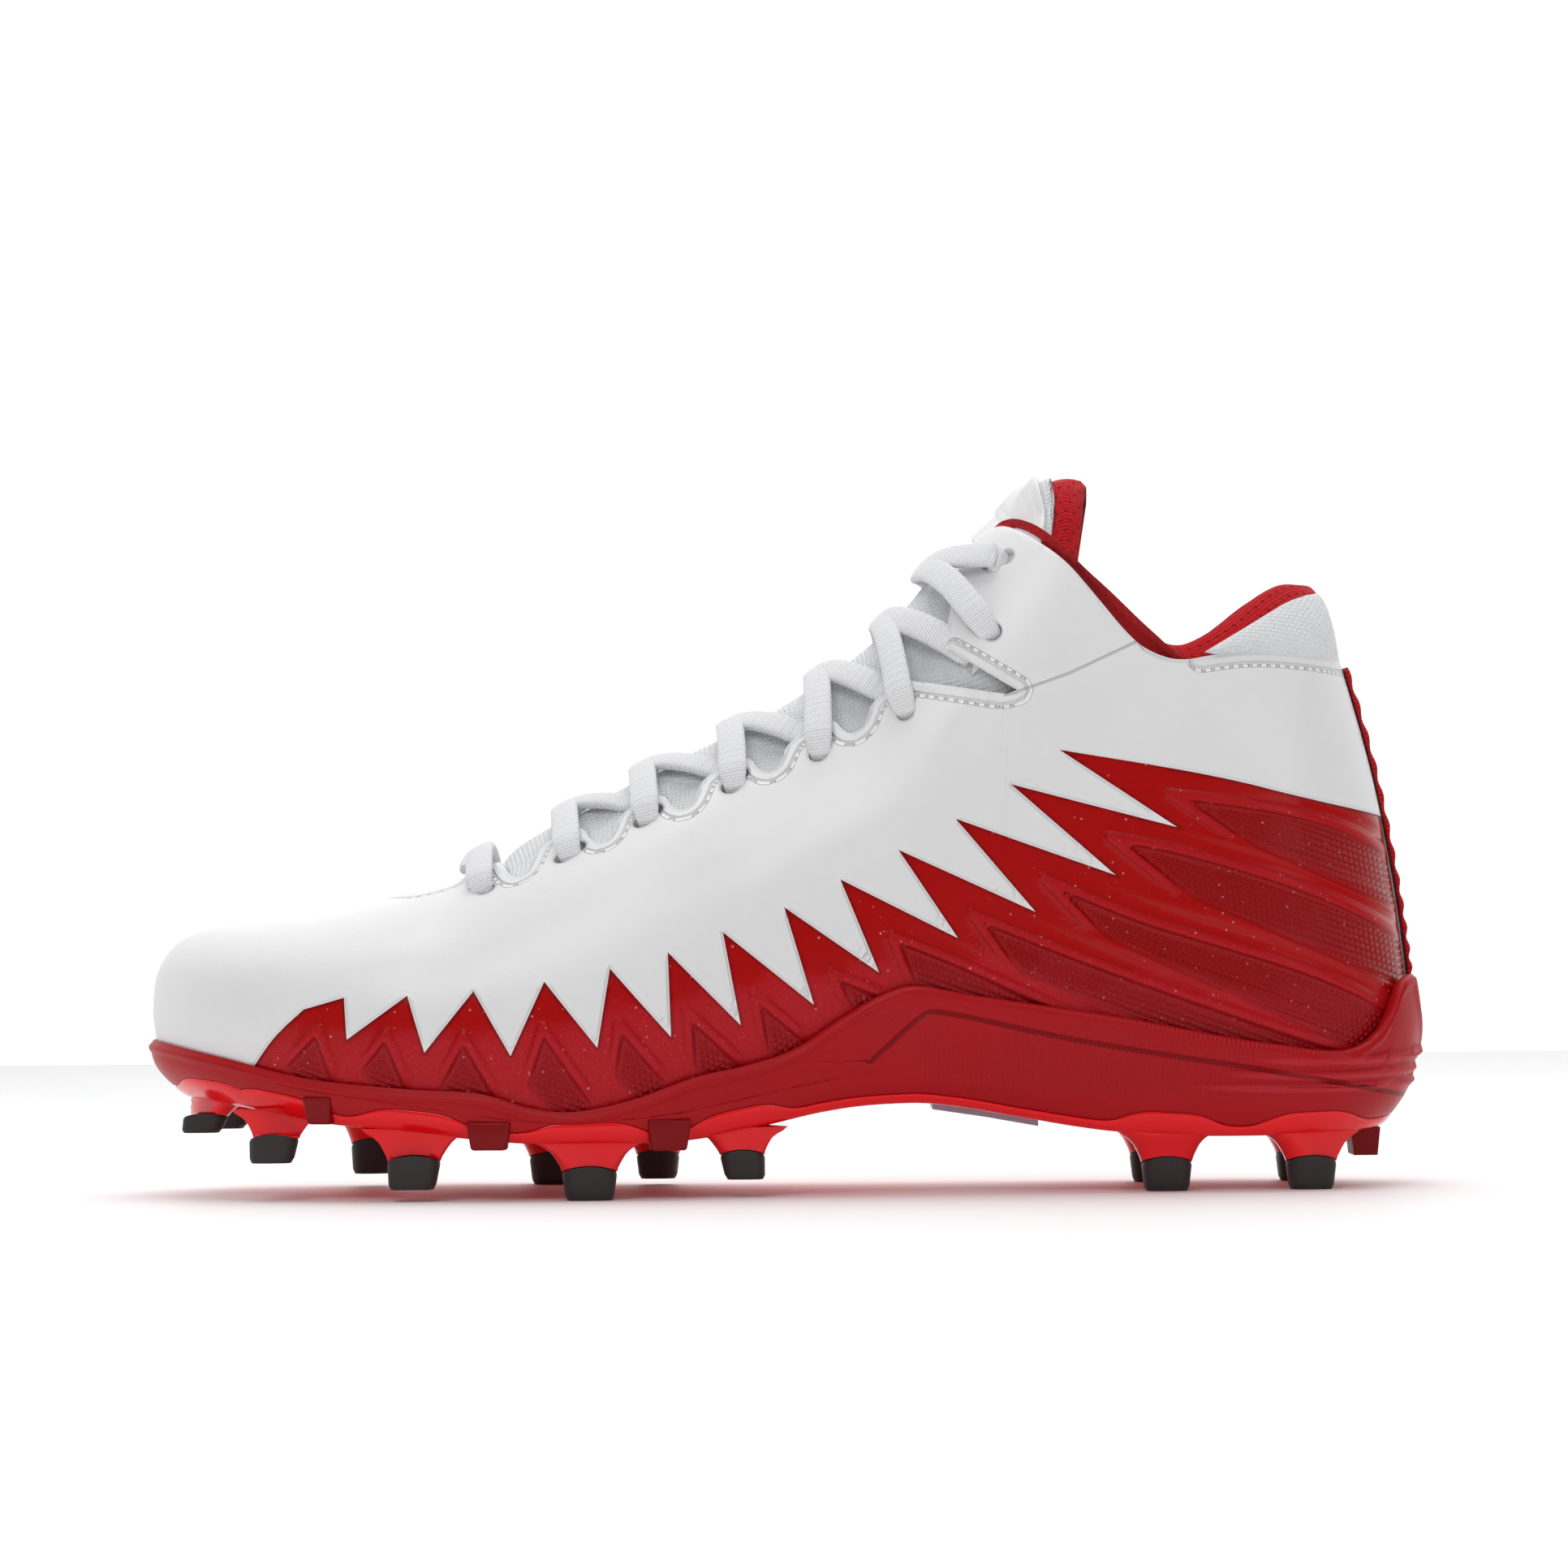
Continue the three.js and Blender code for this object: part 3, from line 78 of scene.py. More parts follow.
# Sections of the last, from the toe to the heel
LAST = {
    "foot": [0.6, 1.1, 2.6, 5.4, 10, 16.2, 23.1, 30.3, 37.5, 45.4, 53.3,
             61.1, 69, 75.6, 80.8, 84.8, 88, 91, 93.6, 95.9, 97.4, 98.1],
    "seat": [0.9, 0.9, 0.86, 0.77, 0.62, 0.52, 0.4, 0.3, 0.36, 0.56, 0.55,
             0.54, 0.78, 1, 1, 1, 1, 1, 1, 1.02, 1.1, 1.25],
    "top": [0.15, 0.6, 2.3, 5.2, 10.3, 16.9, 24.4, 32.6, 40.8, 50, 57.9,
            64.1, 71.6, 79.5, 86.7, 91.6, 93.8, 96, 97.5, 98.4, 98.8, 98.7],
    "crest": [17.3, 23.9, 28.5, 30.6, 32, 34.1, 38.1, 45.8, 54, 62.9, 73.8,
              87.5, 98.6, 97.4, 91, 83, 69.2, 53.5, 38.5, 26.3, 17.6, 12.2],
    "axis": [0.16, 0.16, 0.15, 0.13, 0.1, 0.06, 0.02, -0.02, -0.04, -0.04, -0.03,
             -0.02, -0.01, 0, 0, 0, 0, 0, 0, 0, 0, 0],
    "outer": [0, 0.22, 0.42, 0.61, 0.78, 0.91, 0.97, 0.98, 0.95, 0.93, 0.95,
              0.99, 1.04, 1.03, 1.02, 1, 0.96, 0.88, 0.75, 0.57, 0.35, 0],
    "inner": [0, 0.22, 0.41, 0.59, 0.75, 0.88, 0.96, 0.94, 0.84, 0.82, 0.83,
              0.87, 0.97, 0.99, 1, 1, 0.96, 0.88, 0.75, 0.57, 0.35, 0],
    "heel": [0, 0, 0, 0, 0, 0, 0, 0, 0, 0.25, 0.5, 0.75, 1, 1, 1, 1, 1, 1, 1, 1, 1, 1],
    "belly": [0.3, 0.3, 0.32, 0.34, 0.36, 0.36, 0.33, 0.29, 0.26, 0.24, 0.23,
              0.22, 0.22, 0.22, 0.22, 0.22, 0.22, 0.22, 0.24, 0.26, 0.3, 0.3],
    "round": [2.4, 2.4, 2.5, 2.6, 2.6, 2.4, 2.1, 2.1, 2, 1.95, 2.1,
              3.2, 4.2, 3.4, 2.6, 2.2, 2, 2, 2, 2, 2, 2],
    "tuck": [0.06, 0.06, 0.06, 0.06, 0.06, 0.06, 0.06, 0.06, 0.07, 0.09, 0.11,
             0.11, 0.1, 0.08, 0.07, 0.06, 0.06, 0.06, 0.06, 0.06, 0.06, 0.06],
    "cup": [1.6, 1.6, 1.6, 1.6, 1.6, 1.7, 1.8, 1.9, 2, 2.1, 2.2,
            2.4, 2.6, 2.8, 3, 3.1, 3.2, 3.2, 3.2, 3.2, 3.2, 3.2],
}
MIRRORED = ("outer", "inner")
LAST_ROW = len(LAST["foot"]) - 1
BELLY_STEP = 0.25
UNDERCUT = {"at": [0, 12, 30, 60, 85, 100], "inset": [9, 5, 3, 4.5, 4.5, 8]}
# Climb of the midsole wall over the feather edge, as shares of the cup height
CUP_LINE = {
    "at": [-2, 5, 14, 22, 27, 31, 34, 38, 43, 47, 51, 55, 58, 60, 64, 71, 80, 88, 93, 95.5, 97, 98, 102],
    "climb": [0.13, 0.08, 0.1, 0.17, 0.24, 0.12, 0.09, 0.18, 0.34, 0.34, 0.42, 0.72,
              0.94, 1, 0.92, 0.84, 0.68, 0.48, 0.38, 0.5, 0.76, 1.02, 1.2],
}
# Side view outlines, in percent of the length and of the reach
EYELETS = {
    "at": [26.8, 33.6, 39.6, 46.3, 52.9, 59.4, 65.6, 66.6],
    "up": [36.6, 41.6, 47, 52.2, 57.2, 63.4, 75, 85.4],
    "tilt": [-60, 62, 70, 74, 86, 105, 140, 175],
}
LOWER_EYELETS = 6
EYELET_WIDTH = 4.6
EYELET_LENGTH = 9
EYESTAY = {
    "at": [19.6, 21, 22.6, 24.5, 25.8, 27, 33, 39.6, 45.6, 52.4, 56.2, 58.6, 60],
    "up": [35.9, 35.5, 35.9, 36.9, 39.1, 40, 44.6, 49.6, 54.6, 60.1, 63.8, 66.7, 67.3],
}
SCALLOP = {"side": [-0.5, -0.3, -0.05, 0.25, 0.4], "deep": [0.05, 0.68, 1, 0.88, 0.1]}
SCALLOP_PLACE = 0.42
SCALLOP_DEPTH = 6.5
SCALLOP_WIDTH = 10
NOTCH_TIP = {"at": [67.2, 68], "up": [64.6, 65.2]}
WING_FRONT = {"at": [62.5, 62.7, 63.7, 64.6, 66, 67.4], "up": [71.8, 74.2, 84, 87.4, 90, 91]}
COLLAR = {
    "at": [70.2, 72, 73.6, 77, 78.9, 80.8, 83.3, 87, 92.7, 96],
    "up": [87.4, 84.6, 80.8, 72.4, 70.2, 69.4, 70.4, 71, 69.8, 69.4],
}
ROLL_TOP = {
    "at": [67.6, 70.8, 72.4, 74.5, 77, 78.9, 80.5, 82, 84.5, 87, 88.9, 90.1, 96],
    "up": [91.8, 88, 85.4, 82, 77, 73, 72, 72.9, 75.9, 80.1, 82.2, 82.4, 81.6],
}
ROLL_FOOT = {"at": [82.6, 87, 90.9, 96], "up": [70.8, 75.4, 79.6, 79.4]}
LINING_FOOT = {"at": [62.4, 66.5, 70, 76, 84, 100], "up": [72.5, 69.5, 65, 58, 52, 48]}
# The top edge of the lining, up the front of the wing and round the collar
LINING_TOP = {
    "at": [62.2, 62.3, 63.2, 64.1, 65.6, 67.6, *ROLL_TOP["at"][1:]],
    "up": [73.4, 76, 84.4, 88.2, 90.9, 92.2, *ROLL_TOP["up"][1:]],
}
WING_SEAM = {"at": [66.4, 68, 72, 76.7, 80, 96], "up": [64.2, 64.9, 67.6, 71.8, 75, 120]}
TEETH = {
    "peak_at": [16.4, 21.3, 26.4, 31.8, 36.8, 41.2, 45.4, 50.1, 54.4, 58.9, 63.3, 67.6],
    "peak_up": [20.1, 20.3, 20.9, 22.2, 24, 26.3, 29.2, 32.8, 36.9, 41.2, 45.8, 50.9],
    "notch_at": [16.6, 22.6, 29.2, 35.8, 41.4, 46.7, 52.3, 57.3, 63.4, 69.4, 75.6, 80.4],
    "notch_up": [13.8, 11.8, 11.2, 12.3, 13.7, 15.3, 18.2, 22.9, 27.9, 31.7, 37.1, 44.2],
}
SKIN_START = {"at": [8.6, 10.8, 13.3], "up": [8, 14.2, 18.4]}
SKIN_TOP = {"at": [71.4, 83.1, 90.5, 100], "up": [56, 52.1, 48.3, 44.6]}
# Moulded ridges of the side skin, a row for each: foot of its front leg, its point, and its long rear leg
CHEVRONS = [
    ((-117.6, 31.3), (-108.9, 40.3), (-104.5, 28)),
    ((-99.5, 30.5), (-92.6, 39.2), (-87, 26)),
    ((-81, 26.5), (-74.5, 38.5), (-66.3, 24.2)),
    ((-60.6, 26.6), (-56, 40.2), (-44.4, 23)),
    ((-40.3, 28.6), (-38.4, 41.1), (-27.4, 27.9)),
    ((-21.8, 30.3), (-22.7, 43.7), (-9.3, 30.8)),
    ((-4.9, 33.6), (-7.1, 47.5), (5.5, 36.5)),
    ((14.4, 44.2), (10.7, 52.3), (25.3, 46)),
    ((30, 48), (24.9, 60.6), (38.7, 55.3), (63.3, 43.7), (76, 38)),
    ((54, 51), (43.9, 65.5), (63.3, 57.4), (82.2, 50.1), (101.2, 43.3), (120.1, 36.5), (132.4, 32.6)),
    ((75, 58.5), (60.6, 73.8), (82.2, 64.3), (101.2, 58.5), (120.1, 52.6), (134.3, 46.8), (146, 40)),
    ((95.5, 67.5), (76.1, 83.3), (91.7, 80.4), (110.6, 74.9), (129.6, 68.1), (150, 58)),
    ((109.7, 79.7), (90.3, 93.1), (105.9, 91.1), (120.1, 88.6), (133.4, 84.7), (150, 76)),
]
# Studs: place, clearance over the floor, half sizes at the plate and at the foot, lean towards the toe
STUDS = {
    "name": ["toe_outer", "toe_inner", "outer_1", "outer_2", "outer_3", "outer_4", "inner_1", "inner_2", "inner_3",
             "heel_outer_1", "heel_outer_2", "heel_inner_1", "heel_inner_2"],
    "at": [5.2, 6.2, 11, 21.8, 35, 46.4, 16.9, 31.3, 39.7, 79.3, 90.5, 79.3, 90.9],
    "across": [-0.2, 0.42, -0.66, -0.8, -0.82, -0.68, 0.76, 0.8, 0.62, -0.46, -0.42, 0.46, 0.42],
    "clear": [15.4, 15.2, 9, 2.8, 0, 4.2, 3.2, 0, 1.6, 0, 0, 0, 0],
    "base_long": [8.5, 8, 9.5, 10.5, 10.5, 9, 9, 10, 8.5, 9.5, 10, 9.5, 10],
    "base_wide": [6.5, 6.5, 8, 8.5, 8.5, 7.5, 8, 8.5, 7.5, 8, 8, 8, 8],
    "foot_long": [4.6, 4.4, 5, 5.4, 5.6, 4.6, 4.8, 5.4, 4.6, 5.2, 5.2, 5.2, 5.2],
    "foot_wide": [3.8, 3.8, 4.4, 4.6, 4.8, 4.2, 4.4, 4.6, 4.2, 4.6, 4.6, 4.6, 4.6],
    "lean": [0.3, 0.3, 0.12, 0.08, 0, -0.12, 0.05, 0, 0, 0, 0, 0, 0],
}
TIP_SHARE = 0.55
STUD_WAIST = 1.16
TONGUE = {
    "station": [5.1, 5.7, 6.3, 7.1, 8, 9, 9.6, 10, 10.4, 10.78, 11, 11.4, 11.8, 12.15],
    "half": [0.2, 0.27, 0.33, 0.37, 0.38, 0.39, 0.43, 0.48, 0.56, 0.6, 0.62, 0.62, 0.6, 0.54],
}
TONGUE_FACE = -WALL - 1.2
TONGUE_CROWN = 1.5
LACES = {
    "name": ["lace_bar_toe", "lace_cross_1", "lace_cross_2", "lace_cross_3", "lace_cross_4", "lace_cross_5",
             "lace_cross_6"],
    "eyelet": [0, 1, 2, 3, 4, 5, 6],
    "crest": [6.3, 7.1, 7.85, 8.6, 9.4, 10.1, 10.65],
    "end": [(-73.5, 76), (-37.5, 94), (-17, 102), (3.3, 110), (23.5, 119.5), (38.4, 130.5), (50, 148.9)],
}

# Looks
FAR = 400
SOLVER = "MANIFOLD"
# Distance that stands for nowhere near
NOWHERE = 99.0
WING_STEP = 0.6
SKIN_GAP = 0.15
# Soft creases (+ sinks, - rises): place, tilt, length, width and depth
CREASES = [
    (-70, 66, 38, 46, 12, 0.5),
    (-60, 72, 30, 40, 9, -0.35),
    (-88, 62, 50, 34, 12, -0.35),
    (-112, 56, 8, 60, 20, -0.4),
    (-20, 74, 20, 60, 12, 0.35),
    (12, 84, 28, 54, 14, -0.35),
    (44, 108, 62, 40, 12, 0.4),
    (74, 104, -14, 60, 14, 0.4),
    (96, 112, 4, 60, 12, -0.35),
]
SKIN_RIDGE = 1.0
SKIN_SHAPE = 0.4
SKIN_FACE = -0.45
SKIN_BACK = 1.6
# How far the skin's grid is kept past its edge and below the floor, and half of the gap left along its middle
SKIN_SPARE = 4
SKIN_DEEP = 10
SKIN_MIDDLE = 1.2
# Rows and columns of the finer grids
SHELL_ROWS = 230
SHELL_STEPS = 65
SKIN_ROWS = 430
SKIN_COLUMNS = 128
CUP_ROWS = 300
PLATE_ROWS = 260
STRAND_ROWS = 90
STRAND_SIDES = 25
RIDGE_HALF = 1.6
LONG_RIDGES = 8
BAND_SHIFT = np.array([2, 5.2])
BAND_HALF = 2.2
BAND_HIGH = 0.6
STUD_FLARE = 2.5
TAPE_WIDTH = 9
TAPE_TOP = 69.4
TAPE_FOOT = 33
TAPE_WAVES = 17
FRONT_SHARE = 0.25
# Where a lace dives into its eyelet: share of the way from the ridge and height
LACE_DIVE = [(1.07, -4.4), (1.05, -1.9), (1.02, 0.6)]
LACE_REST = 2.1
LACE_DROP = 3.9
# Where the stitched hem starts at the heel
HEEL_HEM = 82
# Ribs of the sole's side round the heel, and its groove line
HEEL_RIB = 0.9
GROOVE = [(20, 31.5), (32, 42.5), (36, 43.2), (62, 37), (80, 33.6), (120, 27.2), (150, 21)]
HEEL_LINES = [
    ((100, 31.4), (128, 29.4), (156, 32)),
    ((92, 28.2), (126, 26.2), (156, 28.4)),
    ((84, 25.2), (122, 23.4), (156, 25.4)),
]
# Lugs of the midsole over the plate: place, width, drop below the plate and side
TABS = [
    (14.4, 7.4, 0.2, -1),
    (27.5, 10.5, 2, -1),
    (41, 10.5, 1.8, -1),
    (14.4, 7, 0.2, 1),
    (25, 9, 1.6, 1),
    (36, 9, 1.6, 1),
]


class CleatSizes(bpy.types.PropertyGroup):
    """Sizes of the cleat that a user would change."""

    lace_width: bpy.props.FloatProperty(
        name="Lace width", description="Width of the flat lace", default=0.0068, min=0.004, max=0.009,
        unit="LENGTH", precision=4)
    lace_thickness: bpy.props.FloatProperty(
        name="Lace thickness", description="Thickness of the flat lace", default=0.0027, min=0.0015, max=0.004,
        unit="LENGTH", precision=4)
    skin_relief: bpy.props.FloatProperty(
        name="Skin relief", description="Height of the side skin's moulded ridges", default=0.00095, min=0.0,
        max=0.0015, unit="LENGTH", precision=5)
    scale_pitch: bpy.props.FloatProperty(
        name="Scale pitch", description="Distance between the small scales inside the ridges", default=0.00138,
        min=0.0008, max=0.003, unit="LENGTH", precision=5)
    stitch_inset: bpy.props.FloatProperty(
        name="Stitch inset", description="Distance of the stitch row from the shell's edge", default=0.0034,
        min=0.0015, max=0.006, unit="LENGTH", precision=4)
    stitch_pitch: bpy.props.FloatProperty(
        name="Stitch pitch", description="Length of one stitch with its gap", default=0.0024, min=0.001, max=0.005,
        unit="LENGTH", precision=4)
    crease_strength: bpy.props.FloatProperty(
        name="Crease strength", description="Share of the full depth of the shell's soft creases", default=1.0,
        min=0.0, max=1.5, subtype="FACTOR")


def tint(name, description, default):
    """A colour setting."""
    return bpy.props.FloatVectorProperty(
        name=name, description=description, default=default, size=3, min=0.0, max=1.0, subtype="COLOR")


class CleatColours(bpy.types.PropertyGroup):
    """Colours of the cleat that a user would change."""

    shell: tint("Shell", "White synthetic of the upper", (0.8, 0.8, 0.805))
    mesh: tint("Mesh", "White mesh of the tongue and the heel pad", (0.94, 0.95, 0.965))
    lace: tint("Lace", "Woven lace", (0.93, 0.93, 0.945))
    liner: tint("Sock liner", "Cloth of the insole", (0.7, 0.7, 0.7))
    skin_gloss: tint("Skin, glossy", "Deep glossy part of the side skin", (0.4, 0.001, 0.001))
    skin_satin: tint("Skin, satin", "Lighter satin part and ridges of the side skin", (0.44, 0.004, 0.01))
    midsole: tint("Midsole", "Satin cup of the sole", (0.4, 0.003, 0.007))
    plate: tint("Plate", "Glossy studded plate", (0.84, 0.004, 0.009))
    knit: tint("Knit", "Red lining and webbing", (0.66, 0.004, 0.01))
    tip: tint("Stud tips", "Tips of the studs", (0.016, 0.012, 0.012))
    arch: tint("Arch plate", "Pale plate under the arch", (0.42, 0.4, 0.5))


def sizes():
    return bpy.context.scene.cleat_sizes


# Geometry


def smooth(a, b, c, d, t):
    """Catmull-Rom through equally spaced values."""
    return 0.5 * (2 * b + (c - a) * t + (2 * a - 5 * b + 4 * c - d) * t**2 + (3 * b - a - 3 * c + d) * t**3)


def look_up(table, column, at):
    """A column of a table sorted by at, eased through its rows."""
    places = np.array(table["at"], float)
    values = np.array(table[column], float)
    at = np.asarray(at, float)
    last = len(places) - 1
    k = np.clip(np.searchsorted(places, at, side="right") - 1, 0, last - 1)
    t = np.clip((at - places[k]) / (places[k + 1] - places[k]), 0, 1)
    return smooth(values[np.maximum(k - 1, 0)], values[k], values[k + 1], values[np.minimum(k + 2, last)], t)


def along(percent):
    return LENGTH * (np.asarray(percent, float) / 100 - 0.5)


def above(percent):
    return BASE + REACH * np.asarray(percent, float) / 100


def percent_at(x):
    return (np.asarray(x, float) / LENGTH + 0.5) * 100


def lift(x):
    at = percent_at(x)
    return TOE_SPRING * look_up(PLATE_LINE, "spring", at) + ARCH_RISE * look_up(PLATE_LINE, "arch", at)


def outline_of(table):
    """Side view points of a table of at and up."""
    return np.stack([along(table["at"]), above(table["up"])], axis=-1)


def last_column(name, u):
    """A column of the last at station u. Past both ends the widths carry on mirrored, which rounds the ends."""
    values = LAST[name]
    sign = -1 if name in MIRRORED else 1
    carried = np.array([sign * values[1], *values, sign * values[-2]], float)
    k = np.clip(np.floor(u).astype(int), 0, LAST_ROW - 1)
    return smooth(carried[k], carried[k + 1], carried[k + 2], carried[k + 3], u - k)


def section(u):
    """Everything that is constant along the section at station u."""
    u = np.asarray(u, float)
    heel = last_column("heel", u)
    half = (BALL_WIDTH * (1 - heel) + HEEL_WIDTH * heel) / 2
    foot_x = along(last_column("foot", u))
    return {
        "foot_x": foot_x,
        "foot_z": BASE + lift(foot_x) + MIDSOLE * last_column("seat", u),
        "top_x": along(last_column("top", u)),
        "top_z": above(last_column("crest", u)),
        "axis": half * last_column("axis", u),
        "outer": half * last_column("outer", u),
        "inner": half * last_column("inner", u),
        "belly": last_column("belly", u),
        "round": last_column("round", u),
        "tuck": last_column("tuck", u),
        "cup": last_column("cup", u),
    }


def last_point(u, v):
    """A point of the last. v runs from -1, the outer feather edge, over 0, the ridge, to 1, the inner one."""
    u, v = np.broadcast_arrays(np.asarray(u, float), np.asarray(v, float))
    s = section(u)
    step = 1 - np.abs(v)
    low = np.clip(step / BELLY_STEP, 0, 1)
    angle = np.clip((step - BELLY_STEP) / (1 - BELLY_STEP), 0, 1) * math.pi / 2
    below = step < BELLY_STEP
    share = np.where(below, s["belly"] * low, s["belly"] + (1 - s["belly"]) * np.sin(angle) ** (2 / s["round"]))
    swell = np.where(below, 1 - s["tuck"] * (1 - np.sin(low * math.pi / 2)), np.cos(angle))
    y = s["axis"] + np.where(v < 0, -s["outer"], s["inner"]) * swell
    x = s["foot_x"] + (s["top_x"] - s["foot_x"]) * share
    z = s["foot_z"] + (s["top_z"] - s["foot_z"]) * share
    return np.stack([x, y, z], axis=-1)


def unit(vectors):
    return vectors / np.maximum(np.linalg.norm(vectors, axis=-1, keepdims=True), 1e-9)


def last_normal(u, v):
    """The outward direction of the last. At the toe and heel rows it lies in the middle plane."""
    u, v = np.broadcast_arrays(np.asarray(u, float), np.asarray(v, float))
    du, dv = 0.02, 0.012
    along_u = last_point(np.minimum(u + du, LAST_ROW), v) - last_point(np.maximum(u - du, 0), v)
    over_v = last_point(u, np.minimum(v + dv, 1)) - last_point(u, np.maximum(v - dv, -1))
    normal = unit(np.cross(along_u, over_v))
    s = section(u)
    out = np.where(u < du, -1.0, 1.0)
    pole = np.stack([out * (s["top_z"] - s["foot_z"]), 0 * u, -out * (s["top_x"] - s["foot_x"])], axis=-1)
    return np.where(((u < du) | (u > LAST_ROW - du))[..., None], unit(pole), normal)


def off_last(u, v, out):
    """A point at a distance from the last."""
    return last_point(u, v) + last_normal(u, v) * np.asarray(out, float)[..., None]


def locate(x, z, side):
    """The station and step whose point lies at x, z in the side view."""
    x, z = np.asarray(x, float), np.asarray(z, float)
    low, high = np.zeros(x.shape), np.full(x.shape, float(LAST_ROW))
    for _ in range(36):
        middle = (low + high) / 2
        s = section(middle)
        before = (s["top_x"] - s["foot_x"]) * (z - s["foot_z"]) < (s["top_z"] - s["foot_z"]) * (x - s["foot_x"])
        low, high = np.where(before, middle, low), np.where(before, high, middle)
    s = section(low)
    share = (z - s["foot_z"]) / (s["top_z"] - s["foot_z"])
    sine = np.clip((share - s["belly"]) / (1 - s["belly"]), 0, 1) ** (s["round"] / 2)
    step = np.where(
        share < s["belly"],
        np.maximum(share, 0) / s["belly"] * BELLY_STEP,
        BELLY_STEP + (1 - BELLY_STEP) * np.arcsin(sine) / (math.pi / 2),
    )
    return low, side * (1 - np.minimum(step, 1))


def ease(low, high, value):
    """0 below low, 1 above high, smooth between."""
    t = np.clip((np.asarray(value, float) - low) / (high - low), 0, 1)
    return t * t * (3 - 2 * t)


def hump(value, at, half):
    """A rounded ridge of height 1 round a place."""
    t = np.clip(1 - ((np.asarray(value, float) - at) / half) ** 2, 0, 1)
    return t * t


def feather_facing(u, side):
    """The direction in which the feather edge faces, seen from above."""
    du = 0.02
    step = last_point(np.minimum(u + du, LAST_ROW), side) - last_point(np.maximum(u - du, 0), side)
    facing = np.stack([-step[..., 1] * side, step[..., 0] * side, 0 * step[..., 0]], axis=-1)
    facing = np.where((u < du)[..., None], np.array([-1.0, 0, 0]), facing)
    facing = np.where((u > LAST_ROW - du)[..., None], np.array([1.0, 0, 0]), facing)
    return unit(facing)


def even_stations(count, start=0.0, end=float(LAST_ROW)):
    """Stations at even distances over the last."""
    u = np.linspace(start, end, 1200)
    rows = [last_point(u, v) for v in (-1, -0.7, -0.35, 0)]
    gaps = np.max([np.linalg.norm(np.diff(row, axis=0), axis=1) for row in rows], axis=0)
    run = np.concatenate([[0], np.cumsum(gaps)])
    return np.interp(np.linspace(0, run[-1], count), run, u)


def even_steps(stations, side, end, count):
    """Steps at even distances over one side of the last, a row for each station, from its feather edge up to end."""
    share = np.concatenate([np.linspace(0, BELLY_STEP, 40, endpoint=False),
                            BELLY_STEP + (1 - BELLY_STEP) * np.linspace(0, 1, 260) ** 4])
    steps = side * (1 - share[share <= end])
    net = last_point(stations[:, None], steps)
    run = np.pad(np.cumsum(np.linalg.norm(np.diff(net, axis=1), axis=2), axis=1), ((0, 0), (1, 0)))
    return np.stack([np.interp(np.linspace(0, line[-1], count), line, steps) for line in run])


def throat_line():
    """The edge of the openings seen from the side: eyestay with scallops, ankle notch, wing and collar."""
    eyestay = outline_of(EYESTAY)
    eyelet_x = along(EYELETS["at"])[:LOWER_EYELETS]

    def height_at(x):
        return float(np.interp(x, eyestay[:, 0], eyestay[:, 1]))

    line = [tuple(p) for p in eyestay if p[0] < eyelet_x[0]] + [(eyelet_x[0], height_at(eyelet_x[0]))]
    for here, following in zip(eyelet_x, eyelet_x[1:]):
        middle = here + SCALLOP_PLACE * (following - here)
        for side, deep in zip(SCALLOP["side"], SCALLOP["deep"]):
            x = middle + side * SCALLOP_WIDTH
            line.append((x, height_at(x) - deep * SCALLOP_DEPTH))
        line.append((following, height_at(following)))
    return np.array(line), np.concatenate([outline_of(NOTCH_TIP), outline_of(WING_FRONT), outline_of(COLLAR)])


def rounded(points, times=3, keep=0.25):
    """A side view line with its corners cut off again and again."""
    points = np.asarray(points, float)
    for _ in range(times):
        near = points[:-1] * (1 - keep) + points[1:] * keep
        far = points[:-1] * keep + points[1:] * (1 - keep)
        between = np.stack([near, far], axis=1).reshape(-1, points.shape[1])
        points = np.concatenate([points[:1], between[1:-1], points[-1:]])
    return points


def opening_outline():
    eyestay, rear = throat_line()
    return np.concatenate([rounded(eyestay, 2), rounded(rear[:2], 1), rounded(rear[2:], 3)])


def skin_outline(by=0.0):
    """The saw-toothed edge of the side skin, moved outwards."""
    teeth = np.stack(
        [
            np.stack([along(TEETH["peak_at"]), above(TEETH["peak_up"])], axis=-1),
            np.stack([along(TEETH["notch_at"]), above(TEETH["notch_up"])], axis=-1),
        ],
        axis=1,
    ).reshape(-1, 2)
    line = np.concatenate([rounded(outline_of(SKIN_START), 2), teeth, rounded(outline_of(SKIN_TOP), 2)])
    ahead = unit(np.diff(line, axis=0))
    normals = np.stack([-ahead[:, 1], ahead[:, 0]], axis=-1)
    into = np.concatenate([normals[:1], normals[:-1] + normals[1:], normals[-1:]])
    size = np.linalg.norm(into, axis=1)
    reach = by / np.maximum(np.where(np.arange(len(line)) % (len(line) - 1) == 0, 1, size / 2), 0.16)
    return line + into / size[:, None] * reach[:, None]


def carried_out(line, height):
    """A side view line closed far behind the shoe and at a height."""
    return np.concatenate([line, [(FAR, line[-1, 1]), (FAR, height), (line[0, 0], height)]])


def inside(points, outline):
    """Whether side view points lie in a closed outline."""
    x, z = points[..., 0], points[..., 1]
    within = np.zeros(x.shape, bool)
    for (x0, z0), (x1, z1) in zip(outline, np.roll(outline, -1, axis=0)):
        if z0 == z1:
            continue
        crosses = (z0 > z) != (z1 > z)
        within ^= crosses & (x < x0 + (x1 - x0) * (z - z0) / (z1 - z0))
    return within


